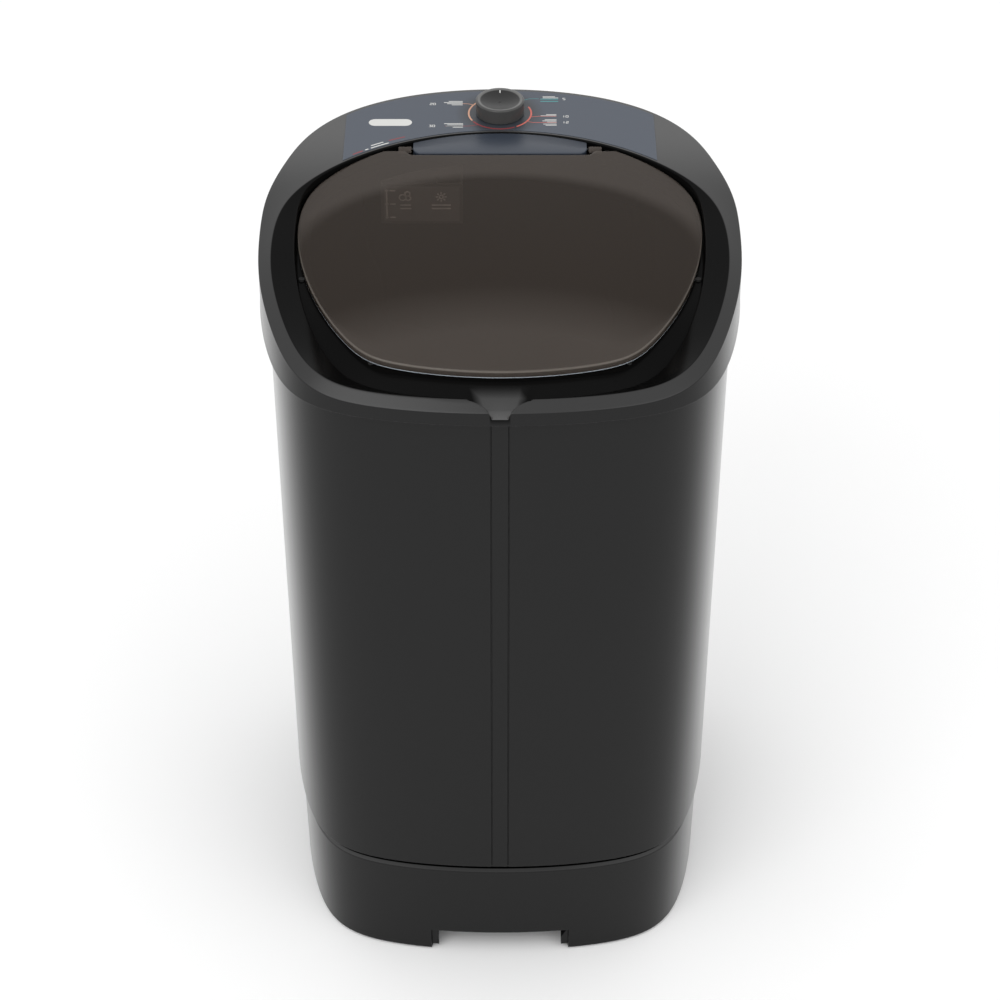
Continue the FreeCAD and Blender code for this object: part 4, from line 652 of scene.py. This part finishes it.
def frameCorners(angle):
    # corners of the frame's section from the skirt's foot inward over the top and back underneath
    wall, skirt = top["wall"], plan["skirtZ"]
    edge, edgeZ = rimReach(angle)
    ridge = bounded(angle, rimReach(angle, top["chamfer"])[0], plan["panelFrontBow"])
    ridgeStart = top["ridgeStart"] - plan["halfDepth"]
    ridgeZ = rise(ridge * np.sin(angle), skirt + top["ridgeRise"], ridgeStart, top["ridgeEnd"])
    ridgeZ = np.maximum(ridgeZ, edgeZ)
    funnelWidth, funnelDepth = plan["halfWidth"] - top["funnelSide"], plan["halfDepth"] - top["funnelFront"]
    funnel = bounded(angle, oval(angle, funnelWidth, funnelDepth, top["funnelPower"]),
                     plan["panelFrontBow"] - top["funnelRear"])
    funnel = np.minimum(funnel, ridge - 1)
    funnelZ = ridgeZ - top["slope"] * (ridge - funnel)
    recess = funnel - top["recessDraft"]
    deep, shallow = lidHeight(recess * np.sin(angle)) - top["seat"], funnelZ - top["recessLeast"]
    soft = top["recessSoft"]
    recessZ = -soft * np.logaddexp(-deep / soft, -shallow / soft)
    mouth = mouthReach(angle)
    mouthZ = lidHeight(mouth * np.sin(angle)) - top["seat"]
    foot = outline(angle, 0)
    band, bandZ = outline(angle, plan["draft"] * top["band"]), skirt + top["band"]
    inner = np.maximum(ridge, funnel + wall + 1)
    innerZ = edgeZ + (ridgeZ - edgeZ) * (edge - inner) / (edge - ridge) - 1.3 * wall

    def ledge(share, drop=0.0):
        return recess + (mouth - recess) * share, recessZ + (mouthZ - recessZ) * share - drop

    def chamfer(share):
        return edge + (ridge - edge) * share, edgeZ + (ridgeZ - edgeZ) * share

    collarZ = mouthZ - top["collar"]
    upper = [(foot, skirt), (band, bandZ), (edge, edgeZ), *map(chamfer, top["shares"]), (ridge, ridgeZ),
             (funnel, funnelZ), (recess, recessZ), *map(ledge, top["ledgeShares"]), (mouth, mouthZ),
             (mouth, collarZ)]
    under = [(mouth + wall, collarZ), (mouth + wall, mouthZ - wall),
             *(ledge(share, wall) for share in top["ledgeShares"][:0:-1]), (recess + wall, recessZ - wall),
             (funnel + wall, np.minimum(funnelZ - wall, innerZ - 0.5)), (inner, innerZ),
             (edge - wall, edgeZ - 0.8 * wall), (band - wall, bandZ), (foot - wall, skirt)]
    return upper + under


def channelWidth(depth, outer):
    # half the spout's width: a bell from the throat at the front edge to the mouth behind the ridge
    bell = np.clip(depth / spout["bell"], 0, 1) ** spout["bellPower"]
    width = spout["throat"] + (spout["mouth"] - spout["throat"]) * bell
    width += spout["flare"] * min(max(depth - spout["bell"], 0.0), spout["reach"] - spout["bell"])
    return min(width, outer / spout["most"])


def channelFloor(depth, underside):
    # level under the lip, then a ramp up to the recess
    along = np.clip((depth - spout["ramp"]) / (spout["reach"] - spout["ramp"]), 0, 1)
    floor = plan["skirtZ"] + spout["floor"] + spout["fall"] * along
    return floor - top["wall"] if underside else floor


def channelHighlight(depth):
    # painted highlight in the channel: pale at the lip, duller inward and gone at the recess
    fade = min(max((spout["shine"] - depth) / spout["shineFade"], 0.0), 1.0)
    return fade * (1 - spout["shineLoss"] * depth / spout["shine"])


def frameLightAndShade(angles, section, bedHighlight, wall):
    # painted light marks: painted shade on the sunken side from the ridge inward, a painted reflection on the
    # chamfer and panel, a painted highlight on the spout's bed and painted shadow on its sides
    rounds, steps = top["rounds"], top["steps"]
    order = repeated([np.full(angles.shape[1], k) for k in range(len(rounds))], rounds, steps)
    fade = np.clip(np.linspace(-1, 2, steps + 1), 0, 1)[:, None]  # across one rounded corner
    wellShade = ((order > top["ridgeRow"]) & (order < top["underRow"])).astype(float)
    wellShade[order[:, 0] == top["ridgeRow"]] = fade
    share = np.clip((section[..., 0] * np.sin(angles) - top["reflectionFrom"]) / top["reflectionOver"], 0, 1)
    share = top["reflectionLeast"] + (1 - top["reflectionLeast"]) * share ** 2 * (3 - 2 * share)
    crown = share * ((order >= top["edgeRow"]) & (order <= top["ridgeRow"])) * (1 - wellShade)
    crown[order[:, 0] == top["edgeRow"]] *= fade
    bedHighlight = repeated(bedHighlight, rounds, steps) * (order >= top["edgeRow"])
    wall = repeated(wall, rounds, steps) * (order > 0)  # painted shadow on the channel's sides and under its lip
    wellShade = np.maximum(np.where(bedHighlight > 0, 1 - bedHighlight, wellShade), wall)
    crown = np.where(bedHighlight > 0, bedHighlight, crown) * (1 - wall)
    return {"wellShade": wellShade.ravel(), "crown": crown.ravel()}


def frameShells():
    # the section carried round; columns crowd at the front, where the spout is pressed down into the rows
    rounds, steps = top["rounds"], top["steps"]
    half = math.radians(spout["span"])
    even = np.linspace(-math.pi / 2 + half, 1.5 * math.pi - half, top["columns"])[1:-1]
    share, sunk = np.array(spout["shares"]), np.array(spout["sunk"])
    flat, evenFlat = np.zeros(9), np.zeros(len(even))
    inside = np.concatenate([flat, sunk, sunk[-2::-1], flat, evenFlat])
    core = np.concatenate([flat, share <= 0.5, share[-2::-1] <= 0.5, flat, evenFlat])
    middle = [float(corner[0][0]) for corner in frameCorners(np.full(1, -math.pi / 2))]
    rows, angleRows, bedHighlight, wall = [], [], [], []
    for k, reach in enumerate(middle):
        depth, outer = plan["halfDepth"] - reach, reach * math.sin(half)
        width = channelWidth(depth, outer)
        wings = outer + (spout["wing"] * width - outer) * np.linspace(0, 1, len(flat))
        across = np.concatenate([wings, width * share, -width * share[-2::-1], -wings[::-1]])
        angles = np.concatenate([np.arcsin(-across / reach) - math.pi / 2, even])
        place, height = frameCorners(angles)[k]
        height = np.broadcast_to(height, place.shape)
        if depth < spout["reach"] + 0.5:
            floor = channelFloor(depth, k >= top["underRow"])
            height = height + inside * (np.minimum(height, floor) - height)
        # painted highlight on the channel's bed, painted shadow on its sides and under the lip
        bedHighlight.append((core if depth > spout["narrowFrom"] else inside > 0.99) * channelHighlight(depth))
        wall.append(((inside == 0.5) & (depth < spout["shadowTo"]) | (inside > 0.6) & (k == 1)).astype(float))
        rows.append(np.stack([place, height], -1))
        angleRows.append(angles)
    angles, section = repeated(angleRows, rounds, steps), rounded(rows, rounds, steps)
    return [ringShell(angles, section)], frameLightAndShade(angles, section, bedHighlight, wall)


frameShell, frameMarks = frameShells()
makePiece("frameShell", frameShell, "machine", frameBlack, "top_frame", frameMarks)
print("top frame made")

# Lid: crowned sheet with a turned-down edge, a notch for the hinge cover and two hinge arms

lid = {"sheet": 4.0, "skirt": 10.0, "skirtWall": 3.5, "tail": 146.4, "notch": 138.3085, "notchHalf": 111.5,
       "skirtEnd": 110.0085, "armWidth": 16.0, "armRadius": 3.5, "hingeY": 155.0085, "hingeZ": 987.5,
       "edgeRound": 2.0, "frontBow": 600.0, "sideBow": 330.0, "cornerPower": 36.0, "rearBow": 289.0,
       "lift": 2.2, "liftFrom": -40.0, "columns": 420, "notchColumns": 60,
       "topShares": (0.002, 0.15, 0.3, 0.45, 0.6, 0.75, 0.88, 0.95),
       "underShares": (0.95, 0.75, 0.5, 0.25, 0.002)}


def lidTop(y):
    # the crowned sheet, lifted a little towards its rear edge
    share = np.clip((y - lid["liftFrom"]) / (lid["tail"] - lid["liftFrom"]), 0, 1)
    return lidHeight(y) + lid["lift"] * share ** 2


def lidLoop(inset):
    # plan points of the lid's edge: round the front from one notch corner to the other, then across the notch
    corner = math.atan2(lid["notch"] - inset, lid["notchHalf"] + inset)
    front = np.linspace(math.pi - corner + 0.004, 2 * math.pi + corner - 0.004, lid["columns"])
    deep = np.maximum(np.sin(front), 1e-3)
    reach = lidReach(front, inset)
    reach = np.where(np.sin(front) > 0.2, np.minimum(reach, (lid["tail"] - inset) / deep), reach)
    notch = np.linspace(corner, math.pi - corner, lid["notchColumns"])
    return np.concatenate([front, notch]), np.concatenate([reach, (lid["notch"] - inset) / np.sin(notch)])


def lidShells():
    # rings from the middle of the top out to the edge, down the skirt and back in underneath
    angles, reach = lidLoop(0.0)
    skirted = reach * np.sin(angles) < lid["skirtEnd"]
    skirt = np.where(skirted, lid["skirt"], lid["sheet"] + 0.5)
    rows, edge, foot = [], [], []

    def ring(inset, drop, scale=1.0, edgeHighlight=0.0, footHighlight=0.0):
        turn, reach = lidLoop(inset)
        x, y = reach * scale * np.cos(turn), reach * scale * np.sin(turn)
        rows.append(np.stack([x, y, lidTop(y) - drop], -1))
        edge.append(np.full(len(turn), edgeHighlight))
        foot.append(np.where(skirted, footHighlight, 0.0))

    size, wall, sheet = lid["edgeRound"], lid["skirtWall"], lid["sheet"]
    for scale in lid["topShares"]:
        ring(size + 1.5, 0, scale)
    # the edge rows carry a painted highlight round the rounded edge, the foot rows a painted highlight along
    # the skirt's foot
    for turn in np.linspace(0, math.pi / 2, 8):
        highlightShare = min(1.0, 3.2 * turn / math.pi)
        ring(size * (1 - math.sin(turn)), size * (1 - math.cos(turn)), edgeHighlight=highlightShare)
    ring(0, size + 0.6, edgeHighlight=0.3)
    ring(0, skirt - 1.8)
    ring(0, skirt - 1.5, footHighlight=1)
    ring(0.3, skirt - 0.4, footHighlight=1)
    ring(1, skirt, footHighlight=1)
    ring(wall - 1, skirt)
    ring(wall, np.maximum(skirt - 1, sheet + 0.3))
    ring(wall + 1, sheet)
    for scale in lid["underShares"]:
        ring(wall + 1, sheet, scale)
    points = np.stack(rows)
    marks = {"edge": np.concatenate(edge), "foot": np.concatenate(foot)}
    return (points.reshape(-1, 3), gridFaces(len(rows), points.shape[1], True, True)), marks


def armLoop():
    # side view of a hinge arm: a round nose about the pin, straight back to the lid
    turn = np.linspace(-math.pi / 2, math.pi / 2, 17)
    nose = lid["armRadius"] * around(turn) + (lid["hingeY"], lid["hingeZ"])
    rear = [(lid["tail"] - 0.8, lidTop(lid["tail"]) - 0.2), (lid["tail"] - 0.8, lid["hingeZ"] - 1.5)]
    return np.concatenate([nose, np.array(rear)])


def arm(side):
    # the side view carried straight across, outside the notch
    near, far = side * lid["notchHalf"], side * (lid["notchHalf"] + lid["armWidth"])
    return loftX([(x, armLoop()) for x in sorted((near, far))])


lidSheet, lidMarks = lidShells()
makePiece("lidShell", [lidSheet, arm(-1), arm(1)], "lid", smoked, "lid", lidMarks)
print("lid made")

# Hinge cover: a block with rounded front corners that fills the notch between lid and panel

cover = {"half": 109.0, "front": 140.8085, "topFront": 990.8, "rear": 193.8085, "low": 976.9, "corner": 10.0,
         "backBow": 288.2, "topRound": 1.6}


def coverLoop(x):
    # side view of the cover at one place across: rounded front edge, sloping top, rear along the panel's arc
    c = cover
    beyond = max(abs(x) - (c["half"] - c["corner"]), 0.0)
    front = c["front"] + c["corner"] - math.sqrt(max(c["corner"] ** 2 - beyond ** 2, 0.0))
    rear = bowCentre + math.sqrt(c["backBow"] ** 2 - x ** 2)
    slope = (plan["panelZ"] - c["topFront"]) / (c["rear"] - c["front"])
    turn = np.linspace(0, math.pi / 2, 6)
    size = c["topRound"]
    nose = np.stack([front + size * (1 - np.cos(turn)),
                     c["topFront"] + slope * (front - c["front"]) - size * (1 - np.sin(turn))], -1)
    heel = [(rear, c["topFront"] + slope * (rear - c["front"])), (rear, c["low"]), (front, c["low"])]
    return np.concatenate([nose, np.array(heel)])


def coverShells():
    # side views carried across, closer together round the front corners
    straight = cover["half"] - cover["corner"]
    bend = straight + np.sin(np.linspace(0, math.pi / 2, 12)[1:]) * cover["corner"]
    places = np.concatenate([-bend[::-1], np.linspace(-1, 1, 41) * straight, bend])
    return [loftX([(float(x), coverLoop(float(x))) for x in places])]


makePiece("hingeCap", coverShells(), "machine", coverSlate, "hinge_cover")

# Timer knob: nearly straight sides, a rounded rim with a painted highlight and a dished top with painted
# shade and one mark

knob = {"centre": (0.0, plan["knobY"]), "low": 994.6, "top": 1014.5, "foot": 30.5, "wide": 31.0, "round": 2.5,
        "rim": 3.0, "dish": 5.0, "markFrom": 20.5, "markTo": 25.0, "markWidth": 1.4, "markThick": 0.25}
knobFlat = knob["wide"] - knob["round"]
knobRim = knobFlat - knob["rim"]


def dishHeight(share):
    # a parabola, lowest in the middle; share is the part of the way out to the rim
    return knob["top"] - 1 - (knob["dish"] - 1) * (1 - share ** 2)


def knobProfile():
    # up the side, round the shoulder, over the rim and down into the dish
    k = knob
    turn = np.linspace(0, math.pi / 2, 9)
    side = [(0.01, k["low"]), (k["foot"] - 0.6, k["low"]), (k["foot"], k["low"] + 0.6),
            (k["wide"] - 0.15, k["top"] - 8)]
    shoulder = list(k["round"] * around(turn) + (knobFlat, k["top"] - k["round"]))
    lip = [(knobFlat - 1, k["top"]), (knobRim + 0.6, k["top"] - 0.4), (knobRim, k["top"] - 1)]
    bowl = [(knobRim * (1 - s) + 0.01 * s, dishHeight(1 - s)) for s in np.linspace(0, 1, 12)[1:]]
    return side + shoulder + lip + bowl


makePiece("knobShell", [lathe(knobProfile(), knob["centre"])], "timer", knobGrey, "timer_knob")
print("panel parts made")

# Prints: thin closed strips, each given by its two long sides

printed = {"low": 994.09, "high": 994.15, "ring": 40.0, "ringWidth": 2.2, "leader": 0.9, "digitTall": 4.6,
           "digitWide": 2.8, "digitLine": 0.9, "step": 4.2, "rowStep": 3.0, "rowTall": 1.5}


def strip(first, second, low=printed["low"], high=printed["high"]):
    # two sides at two heights give four long edges, drawn in to a point at each end
    edges = ((first, low), (second, low), (second, high), (first, high))
    loops = np.stack([np.pad(side, ((0, 0), (0, 1)), constant_values=height) for side, height in edges], 1)
    ends = loops[[0, -1]].mean(1, keepdims=True).repeat(4, 1)
    loops = np.concatenate([ends[:1], loops, ends[1:]])
    return loops.reshape(-1, 3), gridFaces(len(loops), 4, False, True)


def stroke(path, width, low=printed["low"], high=printed["high"]):
    # a line of one width along a path of plan points
    path = np.asarray(path, float)
    along = np.gradient(path, axis=0)
    across = np.stack([-along[:, 1], along[:, 0]], -1) / np.linalg.norm(along, axis=1, keepdims=True)
    return strip(path - across * width / 2, path + across * width / 2, low, high)


# corners of each digit on a box one wide and one tall
digits = {"0": [(0, 0), (1, 0), (1, 1), (0, 1), (0, 0)], "1": [(0.5, 0), (0.5, 1)],
          "2": [(0, 1), (1, 1), (1, 0.5), (0, 0.5), (0, 0), (1, 0)],
          "3": [(0, 1), (1, 1), (0.4, 0.55), (1, 0.4), (1, 0), (0, 0)],
          "5": [(1, 1), (0, 1), (0, 0.55), (1, 0.5), (1, 0), (0, 0)]}


def number(text, x, y):
    # digits side by side, each a line through its corners
    shells = []
    for k, digit in enumerate(text):
        path = np.array(digits[digit], float) * (printed["digitWide"], printed["digitTall"])
        path = np.concatenate([np.linspace(a, b, 5) for a, b in zip(path, path[1:])])
        keepers = np.concatenate([[True], np.linalg.norm(np.diff(path, axis=0), axis=1) > 1e-6])
        shells.append(stroke(path[keepers] + (x + k * printed["step"], y), printed["digitLine"]))
    return shells


def bar(x0, x1, y, width):
    # a straight line across
    return stroke([(x0, y), (x1, y)], width)


def pill(x0, x1, y, radius):
    # a band with half-round ends
    turn = np.linspace(0, math.pi, 25)
    x = (x0 + x1) / 2 - np.cos(turn) * (x1 - x0) / 2
    inner = np.clip(np.minimum(x - x0, x1 - x), 0, radius)
    half = np.sqrt(radius ** 2 - (radius - inner) ** 2) + 0.01
    return strip(np.stack([x, y - half], -1), np.stack([x, y + half], -1))


def leader(points):
    # a thin line bent at the given points
    path = np.concatenate([np.linspace(a, b, 8)[:-1] for a, b in zip(points, points[1:])] + [[points[-1]]])
    return stroke(path, printed["leader"])


def ringArc(start, end):
    # part of a ring round the knob, between two angles in degrees
    turn = np.radians(np.linspace(start, end, 40))
    return stroke(printed["ring"] * around(turn) + knob["centre"], printed["ringWidth"])


def rowsOfBars(x, y, widths, right=False):
    # short bars under one another, set to one side
    places = [(y - k * printed["rowStep"], width) for k, width in enumerate(widths)]
    return [bar(x - width if right else x, x if right else x + width, height, printed["rowTall"])
            for height, width in places]


def edgeBar(start, end, radius, width):
    # a bar that follows the front edge of the panel
    x = np.linspace(start, end, 12)
    path = np.stack([x, bowCentre + np.sqrt(radius ** 2 - x ** 2)], -1)
    return stroke(path, width)


prints = {
    "peach": [ringArc(128, 208), leader([(-34, 256), (-42, 259), (-48, 259)])],
    "coral": [ringArc(-58, 24), leader([(34, 214), (42, 211), (72, 211)]),
              leader([(39, 225), (50, 227), (72, 227)])],
    "red": [ringArc(212, 298), leader([(-28, 205), (-40, 202), (-70, 202)]), edgeBar(-184, -172, 298, 2.0),
            edgeBar(-140, -120, 303, 1.8)],
    "teal": [leader([(26, 266), (38, 272), (50, 272)]), bar(52, 75, 271, 2.2), bar(52, 75, 265, 2.2)],
    "white": [pill(-167, -112, 211, 8.5), edgeBar(-169, -165, 298, 1.8), edgeBar(-162, -140, 298, 1.8),
              edgeBar(-162, -147, 303, 1.8)]
             + number("5", 81, 269) + number("20", -90, 256) + number("30", -90, 200) + number("10", 80, 224)
             + number("12", 80, 209)
             + rowsOfBars(-48, 265, (18, 24, 20, 14), True) + rowsOfBars(-47, 208, (24, 20, 22, 13), True)
             + rowsOfBars(55, 277, (16, 20)) + rowsOfBars(72, 231, (13, 20), True)
             + rowsOfBars(72, 218, (15, 18, 12), True) + rowsOfBars(72, 207, (17, 14), True),
}
for ink, shells in prints.items():
    makePiece("print_" + ink, shells, "machine", inkMaterials[ink])

# Mark on the knob's dish, pointing to the rear

markReach = np.linspace(knob["markFrom"], knob["markTo"], 9)
markPath = np.stack([np.zeros(9), markReach], -1) + knob["centre"]
markShell, markFaces = stroke(markPath, knob["markWidth"], 0.0, knob["markThick"])
markShell[:, 2] += np.repeat(np.pad(dishHeight(markReach / knobRim), 1, "edge"), 4)
makePiece("knobMark", [(markShell, markFaces)], "timer", inkMaterials["white"])

# Level scale on the dispenser's plate: an upright line with ticks, bubbles and a flower

plate = {"face": 117.2, "left": -142.5, "low": 909.0, "high": 952.0, "line": 1.9, "thick": 0.1,
         "bubbles": (-119.0, 941.0), "flower": (-74.0, 941.0), "eye": 2.4, "rays": (4.0, 7.0),
         "rings": ((-3.5, -1, 4.2), (3.6, -2, 3.0), (2.6, 4.4, 3.2)), "barDrops": (12, 17),
         "barHalves": (7, 12)}


def upright(shell):
    # plan points turned up onto the plate's front face
    points, faces = shell
    turned = np.stack([points[:, 0], plate["face"] + 0.02 - points[:, 2], points[:, 1]], -1)
    return turned, faces


def scaleShells():
    # strokes: the line and its ticks, three bubbles, an eye with rays for the flower, and bars under both
    x, low, high = plate["left"], plate["low"], plate["high"]
    bubbles, flower = np.array(plate["bubbles"]), np.array(plate["flower"])
    circle = around(np.linspace(0, 2 * math.pi, 33))
    paths = [[(x, low), (x, high)]]
    for z in np.linspace(low + 2, high - 2, 3):
        paths.append([(x - 2, z), (x + 2, z)])
        paths.append([(x + 4, z), (x + 11, z)])
    for shift, lift, radius in plate["rings"]:
        paths.append(bubbles + (shift, lift) + radius * circle)
    paths.append(flower + plate["eye"] * circle)
    for ray in circle[:-1:4]:
        paths.append(flower + ray * np.array(plate["rays"])[:, None])
    for centre, half in zip((bubbles, flower), plate["barHalves"]):
        for drop in plate["barDrops"]:
            paths.append(centre + [(-half, -drop), (half, -drop)])
    return [upright(stroke(path, plate["line"], 0, plate["thick"])) for path in paths]


scaleInk = surface("scaleInk", (0.95, 0.95, 0.93), 0.5, peel=0.05)
makePiece("scalePrint", scaleShells(), "machine", scaleInk)
print("prints made")

# Every other solid keeps its own mesh and takes a procedural finish

finishes = [
    (slate, "control_overlay"),
    (palePlastic, "lint_filter filter_holder drain_grate"),
    (boxPlastic, "soap_dispenser"),
    (platePlastic, "dosing_scale"),
    (greyPlastic, "timer_body agitator agitator_cap drive_pulley drain_elbow drain_nut"),
    (steel, "timer_screws agitator_bolt agitator_shaft bearing_screws pulley_nut motor_rotor motor_bolts "
            "bracket_screws capacitor_clip frame_screws base_screws timer_shaft"),
    (darkSteel, "lid_hinge_pins"),
    (rubber, "lid_bumpers shaft_seal drive_belt cord_gland rubber_feet wiring_harness"),
    (brass, "upper_bush lower_bush"),
    (alloy, "bearing_housing motor_pulley"),
    (motorPaint, "motor_housing motor_bracket"),
    (lamination, "motor_stator"),
    (canMetal, "capacitor"),
    (bodyBlack, "cable_duct"),
]
for material, names in finishes:
    for name in names.split():
        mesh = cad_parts[name].data
        mesh.materials.clear()
        mesh.materials.append(material)
print("solids painted")

# Floor

floorMesh = bpy.data.meshes.new("floor")
floorMesh.from_pydata([(-6, -6, 0), (6, -6, 0), (6, 6, 0), (-6, 6, 0)], [], [(0, 1, 2, 3)])
paleFloor, floorShader = startMaterial("paleFloor")
setInputs(floorShader, {"Base Color": (0.98, 0.98, 0.98, 1), "Roughness": 0.8})
floorMesh.materials.append(paleFloor)
floor = addObject("floor", floorMesh)
